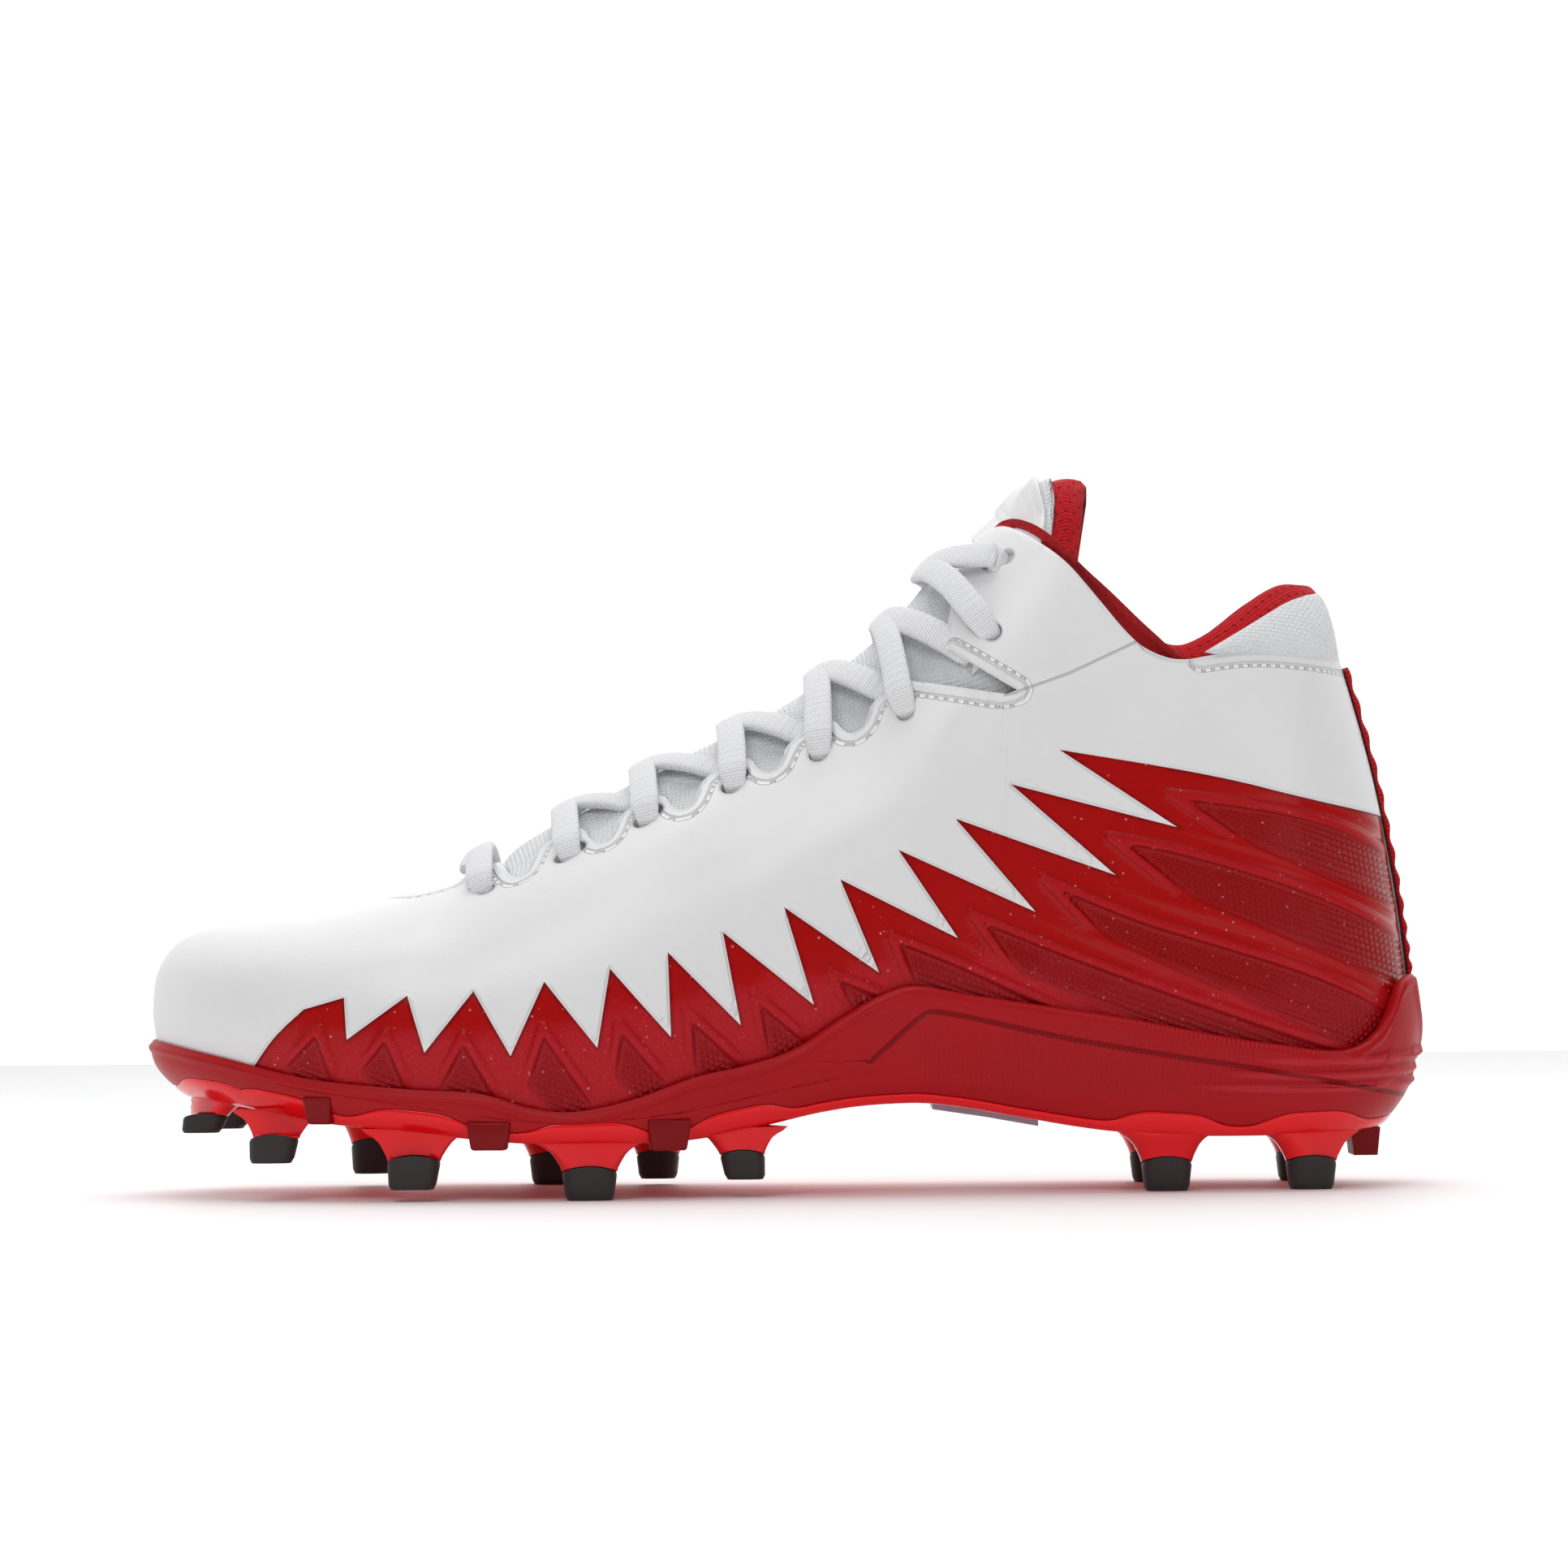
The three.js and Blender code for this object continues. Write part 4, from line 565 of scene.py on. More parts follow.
def nearest(points, line):
    """Distance from points to a line of points, and the place along it."""
    starts, ends = line[:-1], line[1:]
    spans = ends - starts
    lengths = np.linalg.norm(spans, axis=1)
    runs = np.concatenate([[0], np.cumsum(lengths)])[:-1]
    best = np.full(len(points), 1e9)
    run = np.zeros(len(points))
    for start, span, length, before in zip(starts, spans, lengths, runs):
        if length < 1e-9:
            continue
        t = np.clip((points - start) @ span / length**2, 0, 1)
        away = np.linalg.norm(points - start - t[:, None] * span, axis=1)
        closer = away < best
        best = np.where(closer, away, best)
        run = np.where(closer, before + t * length, run)
    return best, run


def refined(line, spacing=1.5):
    """A line with extra points, so that it bends with a surface."""
    pieces = []
    for start, end in zip(line[:-1], line[1:]):
        count = max(int(np.linalg.norm(end - start) / spacing), 1)
        pieces.append(start + (end - start) * np.linspace(0, 1, count, endpoint=False)[:, None])
    return np.concatenate([*pieces, line[-1:]])


def on_last(line, side, out=0.0):
    """A side view line laid on one side of the last."""
    line = refined(np.asarray(line, float))
    u, v = locate(line[:, 0], line[:, 1], side)
    return off_last(u, v, np.full(len(u), out))


# Mesh building


def finish_piece(name, mesh, node_names, material, sharp=None):
    """Makes a mesh a piece of the cleat that stands for CAD nodes."""
    if not mesh.polygons:
        raise RuntimeError(name + " came out empty")
    piece = bpy.data.objects.new(name, mesh)
    bpy.context.scene.collection.objects.link(piece)
    mesh.name = name
    mesh.materials.clear()
    mesh.materials.append(material)
    mesh.shade_smooth()
    if sharp:
        mesh.set_sharp_from_angle(angle=math.radians(sharp))
    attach(piece, BODY)
    if node_names:
        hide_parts(*node_names)
    return piece


def grid_mesh(rows, columns, place, anchor=None, flip=False):
    """A grid laid out by place, which takes the rows' and columns' shares and gives points in millimetres.

    With an anchor column the UV map holds the cloth's own millimetres, counted from that column.
    """
    bm = bmesh.new()
    layer = bm.loops.layers.uv.new("UVMap")
    bmesh.ops.create_grid(bm, x_segments=rows - 1, y_segments=columns - 1, size=1, calc_uvs=True)
    shares = (np.array([vert.co[:2] for vert in bm.verts]) + 1) / 2
    points = place(shares[:, 0], shares[:, 1])
    for vert, point in zip(bm.verts, points * MM):
        vert.co = point
    if anchor is not None:
        net = points.reshape(columns, rows, 3)
        run = np.pad(np.cumsum(np.linalg.norm(np.diff(net[anchor], axis=0), axis=1)), (1, 0))
        across = np.pad(np.cumsum(np.linalg.norm(np.diff(net, axis=0), axis=2), axis=0), ((1, 0), (0, 0)))
        cloth = np.stack([np.broadcast_to(run, across.shape), across - across[anchor]], axis=-1).reshape(-1, 2)
        bm.verts.index_update()
        for face in bm.faces:
            for loop in face.loops:
                loop[layer].uv = cloth[loop.vert.index]
    bmesh.ops.remove_doubles(bm, verts=bm.verts, dist=2e-6)
    if flip:
        bmesh.ops.reverse_faces(bm, faces=bm.faces)
    return bm


def nth(share, count):
    """The row or column that a share of a grid stands for."""
    return np.clip(np.rint(share * (count - 1)).astype(int), 0, count - 1)


def squarer(wave, power):
    """A sine or cosine pushed towards its ends, which rounds off a rectangle instead of a circle."""
    return np.sign(wave) * np.abs(wave) ** power


def closed_mesh(bm, name):
    """The mesh with its open ends filled and its faces turned out."""
    bmesh.ops.holes_fill(bm, edges=[edge for edge in bm.edges if edge.is_boundary], sides=0)
    bmesh.ops.recalc_face_normals(bm, faces=bm.faces)
    return to_mesh(bm, name)


def to_mesh(bm, name):
    mesh = bpy.data.meshes.new(name)
    bm.to_mesh(mesh)
    bm.free()
    return mesh


def applied(mesh, *settings):
    """The mesh after modifiers, each given as its kind and its settings."""
    carrier = bpy.data.objects.new("carrier", mesh)
    bpy.context.scene.collection.objects.link(carrier)
    for kind, values in settings:
        modifier = carrier.modifiers.new(kind.lower(), kind)
        for key, value in values.items():
            setattr(modifier, key, value)
    bpy.context.view_layer.update()
    made = bpy.data.meshes.new_from_object(carrier.evaluated_get(bpy.context.evaluated_depsgraph_get()))
    bpy.data.objects.remove(carrier)
    return made


def prism(outline, from_y, to_y):
    """A side view outline pushed across the shoe, as a cutter."""
    bm = bmesh.new()
    verts = [bm.verts.new((x * MM, from_y * MM, z * MM)) for x, z in outline]
    face = bm.faces.new(verts)
    pushed = bmesh.ops.extrude_face_region(bm, geom=[face])
    moved = [item for item in pushed["geom"] if isinstance(item, bmesh.types.BMVert)]
    bmesh.ops.translate(bm, verts=moved, vec=(0, (to_y - from_y) * MM, 0))
    bmesh.ops.triangulate(bm, faces=bm.faces)
    bmesh.ops.recalc_face_normals(bm, faces=bm.faces)
    return cutter(bm)


def cutter(bm):
    made = bpy.data.objects.new("cutter", to_mesh(bm, "cutter"))
    bpy.context.scene.collection.objects.link(made)
    return made


def set_attribute(mesh, name, values):
    """A number at each vertex for the materials to read."""
    layer = mesh.attributes.new(name, "FLOAT", "POINT")
    layer.data.foreach_set("value", np.asarray(values, np.float32))


def vertices_of(mesh):
    flat = np.empty(len(mesh.vertices) * 3, np.float32)
    mesh.vertices.foreach_get("co", flat)
    return flat.reshape(-1, 3).astype(float) / MM


# Upper


def upper_offset(points):
    """Height of the face over the last: the wing lies lower, and the toe box and the vamp have soft creases."""
    x, z = points[:, 0], points[:, 2]
    seam = np.interp(x, *outline_of(WING_SEAM).T)
    out = -WING_STEP * ease(-0.6, 0.6, z - seam) * (x > along(60))
    strength = sizes().crease_strength
    for crease_x, crease_z, tilt, long, wide, deep in CREASES:
        turn = math.radians(tilt)
        run = (x - crease_x) * math.cos(turn) + (z - crease_z) * math.sin(turn)
        away = (z - crease_z) * math.cos(turn) - (x - crease_x) * math.sin(turn)
        out = out - strength * deep * hump(run, 0, long / 2) * hump(away, 0, wide / 2)
    return out


def upper_mesh():
    stations = even_stations(SHELL_ROWS)
    outer, inner = (even_steps(stations, side, 1, SHELL_STEPS) for side in (-1, 1))
    columns = 2 * SHELL_STEPS - 1
    steps = np.concatenate([outer, inner[:, -2::-1]], axis=1)

    def place(row, column):
        i = nth(row, len(stations))
        u, v = stations[i], steps[i, nth(column, columns)]
        points = last_point(u, v)
        return points + last_normal(u, v) * upper_offset(points)[:, None]

    shell = to_mesh(grid_mesh(len(stations), columns, place), "upper")
    over = carried_out(opening_outline(), FAR)
    below = carried_out(skin_outline(SKIN_GAP), 0)
    strip = TAPE_WIDTH / 4
    cutters = [prism(over, -FAR, FAR), prism(below, -FAR, -strip), prism(below, strip, FAR), eyelet_cutters()]
    settings = [("SOLIDIFY", {"thickness": WALL * MM, "offset": -1, "use_even_offset": False})]
    settings += [("BOOLEAN", {"object": item, "operation": "DIFFERENCE", "solver": SOLVER}) for item in cutters]
    made = applied(shell, *settings)
    for item in cutters:
        bpy.data.objects.remove(item)
    return made


def eyelet_frames():
    """Place, long direction, short direction and normal of each slot."""
    frames = []
    for side in (-1, 1):
        for at, up, tilt in zip(EYELETS["at"], EYELETS["up"], EYELETS["tilt"]):
            u, v = locate(along(at), above(up), side)
            normal = last_normal(u, v)
            long = np.array([math.cos(math.radians(tilt)), 0, math.sin(math.radians(tilt))])
            long = unit(long - normal * (long @ normal))
            frames.append((last_point(u, v), long, np.cross(normal, long), normal))
    return frames


def eyelet_cutters():
    bm = bmesh.new()
    for centre, long, short, normal in eyelet_frames():
        turn = Matrix([list(axis) for axis in (long, short, normal)]).transposed().to_4x4()
        start = len(bm.verts)
        bmesh.ops.create_cone(bm, cap_ends=True, segments=24, radius1=EYELET_WIDTH / 2 * MM,
                              radius2=EYELET_WIDTH / 2 * MM, depth=5 * WALL * MM)
        bm.verts.ensure_lookup_table()
        verts = bm.verts[start:]
        half = (EYELET_LENGTH - EYELET_WIDTH) / 2 * MM
        for vert in verts:
            vert.co.x += half if vert.co.x > 0 else -half
        bmesh.ops.transform(bm, matrix=Matrix.Translation(centre * MM) @ turn, verts=verts)
    return cutter(bm)


def opening_lines():
    """The edges of the openings on both sides of the last."""
    line = opening_outline()
    return [on_last(line, side) for side in (-1, 1)]


def build_upper():
    mesh = upper_mesh()
    points = vertices_of(mesh)
    edge, hem = np.full((2, len(points)), NOWHERE)
    run = np.zeros(len(points))
    for line in opening_lines():
        away, place = nearest(points, line[::2])
        run = np.where(away < edge, place, run)
        edge = np.minimum(edge, away)
        x, z = line[:, 0], line[:, 2]
        wing = (z > above(WING_FRONT["up"][0])) | (x > along(66)) & (z > above(69.5))
        wing &= x < along(HEEL_HEM)
        for part in np.split(line, np.flatnonzero(np.diff(wing.astype(int))) + 1):
            middle = part[len(part) // 2]
            if len(part) > 3 and not wing[np.argmin(np.linalg.norm(line - middle, axis=1))]:
                hem = np.minimum(hem, nearest(points, part[::2])[0])
    teeth = np.full(len(points), NOWHERE)
    for side in (-1, 1):
        away, _ = nearest(points, on_last(skin_outline(SKIN_GAP), side)[::2])
        teeth = np.minimum(teeth, away)
    seam_line = outline_of(WING_SEAM)
    seam, _ = nearest(points[:, [0, 2]], seam_line)
    seam = seam * np.sign(points[:, 2] - np.interp(points[:, 0], *seam_line.T))
    seam = np.where(points[:, 0] > seam_line[0, 0] + 1, seam, NOWHERE)
    slot = np.full(len(points), NOWHERE)
    half = (EYELET_LENGTH - EYELET_WIDTH) / 2
    for centre, long, short, normal in eyelet_frames():
        away = points - centre
        lengthwise = np.maximum(np.abs(away @ long) - half, 0)
        slot = np.minimum(slot, np.hypot(lengthwise, away @ short) + 0.15 * np.abs(away @ normal) - EYELET_WIDTH / 2)
    named = {"edge": edge, "hem": hem, "run": run, "teeth": teeth, "seam": seam, "slot": slot}
    for name, values in named.items():
        set_attribute(mesh, name, values)
    finish_piece("shell", mesh, ["upper"], upper_material(), 40)


# Side skins


def ridge_lines():
    """The moulded ridges of the skin: each line, how wide and high it is, and how soon it fades in and out."""
    lines = []
    for k, row in enumerate(CHEVRONS):
        points = np.array(row, float)
        line = np.concatenate([points[:2], rounded(points[1:], 2)[1:]])
        lead = float(np.linalg.norm(points[1] - points[0]))
        lines.append((line, RIDGE_HALF, SKIN_RIDGE, 0.5 * lead, True))
        if k >= LONG_RIDGES:
            lines.append((line[2:] + BAND_SHIFT, BAND_HALF, BAND_HIGH, 30.0, False))
    return lines


def skin_relief(points):
    """The nearest moulded ridge at side view points: distance in half widths and height; and the sunk fields."""
    near = np.full(len(points), 3.0)
    high_here = np.zeros(len(points))
    best = np.zeros(len(points))
    field = np.full(len(points), -9.0)
    for line, half, high, fade_in, holds in ridge_lines():
        away, run = nearest(points, line)
        total = np.linalg.norm(np.diff(line, axis=0), axis=1).sum()
        fade = high * ease(0, fade_in, run) * (1 - ease(0.85, 1.0, run / total))
        away_share = away / (half * (1 + 0.3 * run / total))
        weight = fade * hump(away_share, 0, 2.4)
        stronger = weight > best
        best = np.where(stronger, weight, best)
        near = np.where(stronger, away_share, near)
        high_here = np.where(stronger, fade, high_here)
        if holds:
            border = np.concatenate([line, [line[-1] - (0, 14)], line[:1]])
            into, _ = nearest(points, border)
            field = np.maximum(field, np.where(inside(points, border[:-1]), into, -into))
    return near, high_here, field


def build_skin(side, name, node):
    stations = even_stations(SKIN_ROWS, 1.6, LAST_ROW)
    steps = even_steps(stations, side, 0.93, SKIN_COLUMNS)

    def place(row, column):
        i = nth(row, len(stations))
        u, v = stations[i], steps[i, nth(column, SKIN_COLUMNS)]
        points = last_point(u, v)
        near, high, _ = skin_relief(points[:, [0, 2]])
        relief = SKIN_SHAPE * sizes().skin_relief / MM * high * hump(near, 0, 1)
        return points + last_normal(u, v) * (SKIN_FACE + relief)[:, None]

    bm = grid_mesh(len(stations), SKIN_COLUMNS, place, flip=side > 0)
    outline = carried_out(skin_outline(SKIN_SPARE), -SKIN_DEEP)
    centres = np.array([face.calc_center_median()[:] for face in bm.faces]) / MM
    kept = inside(centres[:, [0, 2]], outline) & (np.abs(centres[:, 1]) > SKIN_MIDDLE)
    bmesh.ops.delete(bm, geom=[face for face, keep in zip(bm.faces, kept) if not keep], context="FACES")
    mesh = applied(to_mesh(bm, name), ("SOLIDIFY", {"thickness": SKIN_BACK * MM, "offset": -1}))
    points = vertices_of(mesh)
    near, high, field = skin_relief(points[:, [0, 2]])
    rim, _ = nearest(points[:, [0, 2]], skin_outline(0))
    for key, values in {"ridge": near, "high": high, "field": field, "rim": rim}.items():
        set_attribute(mesh, key, values)
    finish_piece(name, mesh, [node], skin_material())


# Sole


def cup_line():
    at = np.arange(-3, 102.1, 1.0)
    x = along(at)
    seats = {"at": LAST["foot"], "seat": LAST["seat"]}
    return x, BASE + lift(x) + MIDSOLE * look_up(seats, "seat", at) + CUP_HEIGHT * look_up(CUP_LINE, "climb", at)


def parting_height(x, side):
    """Height of the line between the midsole and the plate, which rises round each stud of that side."""
    pad = np.zeros(x.shape)
    for at, across, base in zip(STUDS["at"], STUDS["across"], STUDS["base_long"]):
        if np.sign(across) == side:
            away = (x - along(at)) / (1.15 * base)
            pad = np.maximum(pad, np.exp(-(away**4)))
    return STUD_HEIGHT + lift(x) + PLATE * (0.85 + pad)


def wall_point(u, side, depth, out=0.0):
    """A point of the sole's side wall, from the feather edge at depth 0 to the underside of the plate at 1."""
    s = section(u)
    inset = look_up(UNDERCUT, "inset", percent_at(s["foot_x"])) * depth**2
    point = last_point(u, side) + feather_facing(u, side) * np.asarray(s["cup"] - inset + out)[..., None]
    floor = STUD_HEIGHT + lift(point[..., 0])
    point[..., 2] = s["foot_z"] + (floor - s["foot_z"]) * depth
    return point


def cup_top(u, side):
    """The step v at which the midsole's wall ends at station u."""
    line_x, line_z = cup_line()
    cup = section(u)["cup"]
    low, high = np.full(u.shape, 0.35), np.ones(u.shape)
    for _ in range(24):
        middle = (low + high) / 2
        point = off_last(u, side * middle, cup)
        over = point[..., 2] > np.interp(point[..., 0], line_x, line_z)
        low, high = np.where(over, middle, low), np.where(over, high, middle)
    return high


def sole_edge(x, side):
    """How far the underside of the sole reaches to one side at x."""
    rim = wall_point(np.linspace(0, LAST_ROW, 400), side, 1.0)
    order = np.argsort(rim[:, 0])
    return np.interp(x, rim[order, 0], rim[order, 1])


def spine_of(s, z):
    """The middle line at height z, which ends short of the toe and the heel."""
    return np.stack([np.clip(s["foot_x"], along(7), along(93)), s["axis"], z], axis=-1)


def perimeter(count):
    """Stations and sides once round the shoe: up the outer side and back down the inner side."""
    stations = even_stations(count)
    u = np.concatenate([stations, stations[::-1]])
    side = np.concatenate([-np.ones(count), np.ones(count)])
    return u, side


def midsole_relief(points):
    """Height of the side wall's ribs at side view points, and the distance to its groove."""
    out = np.zeros(len(points))
    for row in HEEL_LINES:
        line = rounded(row, 2)
        away, run = nearest(points, line)
        total = np.linalg.norm(np.diff(line, axis=0), axis=1).sum()
        out = np.maximum(out, HEEL_RIB * ease(0, 0.5, run / total) * hump(away, 0, 1.4))
    line = rounded(np.array(GROOVE, float), 2)
    groove, _ = nearest(points, line)
    return out, groove * np.sign(points[:, 1] - np.interp(points[:, 0], *line.T))


def build_midsole():
    u_all, side_all = perimeter(CUP_ROWS)
    count = len(u_all)
    top_all = cup_top(u_all, side_all)
    wall = 30
    columns = wall + 10

    def place(row, column):
        i = nth(row, count)
        j = nth(column, columns)
        u, side, top = u_all[i], side_all[i], top_all[i]
        s = section(u)
        rim = off_last(u, side * top, s["cup"])
        feather = off_last(u, side * np.ones(u.shape), s["cup"])
        x = s["foot_x"]
        parting = np.where(side < 0, parting_height(x, -1), parting_height(x, 1))
        depth_end = np.clip((s["foot_z"] - parting) / (s["foot_z"] - STUD_HEIGHT - lift(x)), 0.12, 0.95)
        upper_length = np.linalg.norm(rim - feather, axis=1)
        lower_length = (s["foot_z"] - STUD_HEIGHT - lift(x)) * depth_end
        run = np.clip((j - 4) / (wall - 1), 0, 1) * (upper_length + lower_length)
        upper_share = np.clip(run / np.maximum(upper_length, 1e-6), 0, 1)
        v = side * (top + (1 - top) * upper_share)
        bead = 0.55 * hump(run, 1.6, 1.9) - 0.9 * (1 - ease(0, 1.4, run))
        on_upper = off_last(u, v, s["cup"] + bead)
        depth = np.clip((run - upper_length) / np.maximum(lower_length, 1e-6), 0, 1) * depth_end
        relief, _ = midsole_relief(on_upper[:, [0, 2]])
        low = wall_point(u, side, depth, bead)
        low_relief, _ = midsole_relief(low[:, [0, 2]])
        facing = feather_facing(u, side)
        blend = ease(0, 0.1, depth)[:, None]
        lower = (on_upper * (1 - blend) + low * blend) + facing * low_relief[:, None]
        lower[:, 2] = np.where(run > upper_length, low[:, 2], lower[:, 2])
        points = np.where((run > upper_length)[:, None], lower, on_upper + facing * relief[:, None])
        # The lip, the hidden inner face and the two faces that close the body
        lip = off_last(u, side * top, 0.25 + 0.3 * (s["cup"] - 0.9))
        under_lip = off_last(u, side * np.minimum(top + 0.02, 1), np.full(u.shape, 0.2))
        inner = off_last(u, side * np.ones(u.shape), np.full(u.shape, 0.2))
        centre = spine_of(s, s["foot_z"] - 0.6)
        points = np.where((j == 3)[:, None], lip, points)
        points = np.where((j == 2)[:, None], under_lip, points)
        points = np.where((j == 1)[:, None], inner, points)
        points = np.where((j == 0)[:, None], centre, points)
        edge = wall_point(u, side, depth_end, -0.8)
        bottom = spine_of(s, parting)
        for k, share in ((4, 0.0), (5, 0.1)):
            here = edge + (bottom - edge) * share
            here[:, 2] = parting - 0.2 * (1 - share)
            points = np.where((j == wall + k)[:, None], here, points)
        closing = spine_of(s, np.minimum(parting, s["foot_z"] - 1.2))
        return np.where((j >= wall + 6)[:, None], closing, points)

    bm = grid_mesh(count, columns, place, flip=True)
    mesh = to_mesh(bm, "cup_sole")
    points = vertices_of(mesh)
    relief, groove = midsole_relief(points[:, [0, 2]])
    set_attribute(mesh, "relief", relief)
    set_attribute(mesh, "groove", groove)
    finish_piece("cup_sole", mesh, ["midsole"], midsole_material())


def stud_point(k, share, angle, out=0.0):
    """A point of a stud's side, by its share of the height and its angle."""
    share, angle = np.broadcast_arrays(np.asarray(share, float), np.asarray(angle, float))
    row = {name: values[k] for name, values in STUDS.items()}
    x = float(along(row["at"]))
    y = row["across"] * BALL_WIDTH / 2
    top = STUD_HEIGHT + float(lift(x))
    height = top - row["clear"]
    waist = np.clip(share / (1 - TIP_SHARE), 0, 1)
    taper = 1 + (STUD_WAIST - 1) * (1 - np.clip((share - 1 + TIP_SHARE) / TIP_SHARE, 0, 1))
    size = []
    for base, foot in (("base_long", "foot_long"), ("base_wide", "foot_wide")):
        size.append(row[base] + (row[foot] * taper - row[base]) * waist**0.75 + out)
    cosine, sine = np.cos(angle), np.sin(angle)
    square = (np.abs(cosine) ** 3.2 + np.abs(sine) ** 3.2) ** (-1 / 3.2)
    lean = -row["lean"] * height * share
    return np.stack([x + lean + size[0] * cosine * square, y + size[1] * sine * square, top - height * share], -1)


def tip_line(angle):
    """Share of the height at which the black tip starts, which dips at its corners."""
    return 1 - TIP_SHARE - 0.06 + 0.12 * np.cos(angle) ** 2


def build_tips():
    bm = bmesh.new()
    sides, rings = 40, 14
    for k in range(len(STUDS["name"])):
        def place(row, column):
            angle = 2 * math.pi * row
            start = tip_line(angle)
            j = nth(column, rings)
            share = start + (1 - start) * np.clip((j - 2) / (rings - 5), 0, 1)
            out = np.where(j < 2, -1.2, 0.0) + np.where(j == 2, -0.25, 0) - 0.45 * (j >= rings - 3)
            point = stud_point(k, share, angle, out)
            point[:, 2] += np.where(j == rings - 4, 0.35, 0)
            flat = np.array([*stud_middle(k, 1.0), point[:, 2].min()])
            top = np.array([*stud_middle(k, 0.4), stud_point(k, 0.4, np.array([0.0]))[0, 2]])
            point = np.where((j == rings - 1)[:, None], flat, point)
            return np.where((j == 0)[:, None], top, point)

        tip = to_mesh(grid_mesh(sides + 1, rings, place), "tip")
        bm.from_mesh(tip)
    bmesh.ops.recalc_face_normals(bm, faces=bm.faces)
    mesh = to_mesh(bm, "stud_tips")
    names = ["stud_tip_" + name for name in STUDS["name"]]
    finish_piece("stud_tips", mesh, names, tip_material(), 50)


def stud_middle(k, share):
    ring = stud_point(k, np.full(4, share), np.array([0, 0.5, 1, 1.5]) * math.pi)
    return ring[:, :2].mean(axis=0)


def stud_bases(bm):
    """The red bodies of the studs, flared into the plate."""
    sides, rings = 40, 12
    for k, across in enumerate(STUDS["across"]):
        side = np.sign(across)

        def place(row, column):
            angle = 2 * math.pi * row
            j = nth(column, rings)
            end = tip_line(angle) - 0.015
            share = -0.08 + (end + 0.08) * np.clip((j - 1) / (rings - 3), 0, 1) ** 1.3
            flare = STUD_FLARE * np.clip(1 - (share + 0.08) / 0.3, 0, 1) ** 2 * np.abs(np.cos(angle))
            point = stud_point(k, share, angle, flare)
            limit = sole_edge(point[:, 0], side)
            bound = np.maximum if side < 0 else np.minimum
            point[:, 1] = bound(point[:, 1], limit)
            point[:, 0] = np.clip(point[:, 0], *(np.array([along(0), along(100)]) + (10, -8)))
            top = np.array([*stud_middle(k, 0.0), point[:, 2].max() + 1])
            low = np.array([*stud_middle(k, 0.42), stud_point(k, 0.42, np.array([0.0]))[0, 2]])
            point = np.where((j == 0)[:, None], top, point)
            return np.where((j == rings - 1)[:, None], low, point)

        base = to_mesh(grid_mesh(sides + 1, rings, place), "base")
        bm.from_mesh(base)
        bpy.data.meshes.remove(base)


def build_plate():
    u_all, side_all = perimeter(PLATE_ROWS)
    count = len(u_all)
    side_steps = 10
    across = 16
    columns = side_steps + across + 3

    def place(row, column):
        i = nth(row, count)
        j = nth(column, columns)
        u, side = u_all[i], side_all[i]
        s = section(u)
        x = s["foot_x"]
        floor = STUD_HEIGHT + lift(x)
        parting = np.where(side < 0, parting_height(x, -1), parting_height(x, 1)) - 0.2
        start = np.clip((s["foot_z"] - parting) / (s["foot_z"] - floor), 0.12, 0.97)
        down = np.clip((j - 3) / (side_steps - 1), 0, 1)
        depth = start + (1 - start) * down
        swell = 0.35 * np.sin(math.pi * down) - 0.25 * (down == 0) - 0.9 * (down > 0.99)
        point = wall_point(u, side, depth, swell)
        under = wall_point(u, side, np.ones(u.shape), -1.4)
        spine = spine_of(s, floor)
        share = np.clip((j - side_steps - 3) / (across - 1), 0, 1)
        bottom = under + (spine - under) * share[:, None]
        floor_rib = 0.5 * hump(share, 0.55, 0.12) * hump(x, along(30), 70)
        bottom[:, 2] -= floor_rib
        point = np.where((j >= side_steps + 3)[:, None], bottom, point)
        inner = wall_point(u, side, start, np.full(u.shape, -1.5))
        inner[:, 2] = np.maximum(inner[:, 2], floor + 1.2)
        top = spine_of(s, floor + 1.2)
        point = np.where((j == 2)[:, None], wall_point(u, side, start, np.full(u.shape, -0.5)), point)
        point = np.where((j == 1)[:, None], inner, point)
        return np.where((j == 0)[:, None], top, point)

    bm = grid_mesh(count, columns, place, flip=True)
    stud_bases(bm)
    bmesh.ops.recalc_face_normals(bm, faces=bm.faces)
    finish_piece("studded_plate", to_mesh(bm, "studded_plate"), ["outsole_plate"], plate_material(), 60)


def build_tabs():
    """The lugs of the midsole that fold down over the edge of the plate."""
    bm = bmesh.new()
    for at, wide, hang, side in TABS:
        x = along(at)
        stations = np.linspace(0, LAST_ROW, 4001)
        u = float(np.interp(x, section(stations)["foot_x"], stations))
        edge = wall_point(np.array([u]), side, np.array([0.2]), np.array([0.2]))[0]
        low = wall_point(np.array([u]), side, np.array([0.98]), np.array([2.2]))[0]
        low[2] = STUD_HEIGHT + float(lift(x)) - hang
        facing = feather_facing(np.array([u]), side)[0]
        across = np.array([-facing[1], facing[0], 0])
        start = len(bm.verts)
        bmesh.ops.create_cube(bm, size=1)
        bm.verts.ensure_lookup_table()
        for vert in bm.verts[start:]:
            top = vert.co.z > 0
            half = wide / 2 * (1 if top else 0.78)
            centre = edge if top else low
            depth = 1.4 if vert.co.y > 0 else -2.6
            if top and vert.co.y > 0:
                depth = 0.6
            vert.co = (centre + across * half * np.sign(vert.co.x) + facing * depth) * MM
    bmesh.ops.recalc_face_normals(bm, faces=bm.faces)
    bmesh.ops.bevel(bm, geom=bm.edges, offset=0.7 * MM, offset_type="OFFSET", segments=3, profile=0.5, affect="EDGES",
                    material=-1)
    finish_piece("sole_tabs", to_mesh(bm, "sole_tabs"), [], midsole_material())


# Lining, tongue and pads


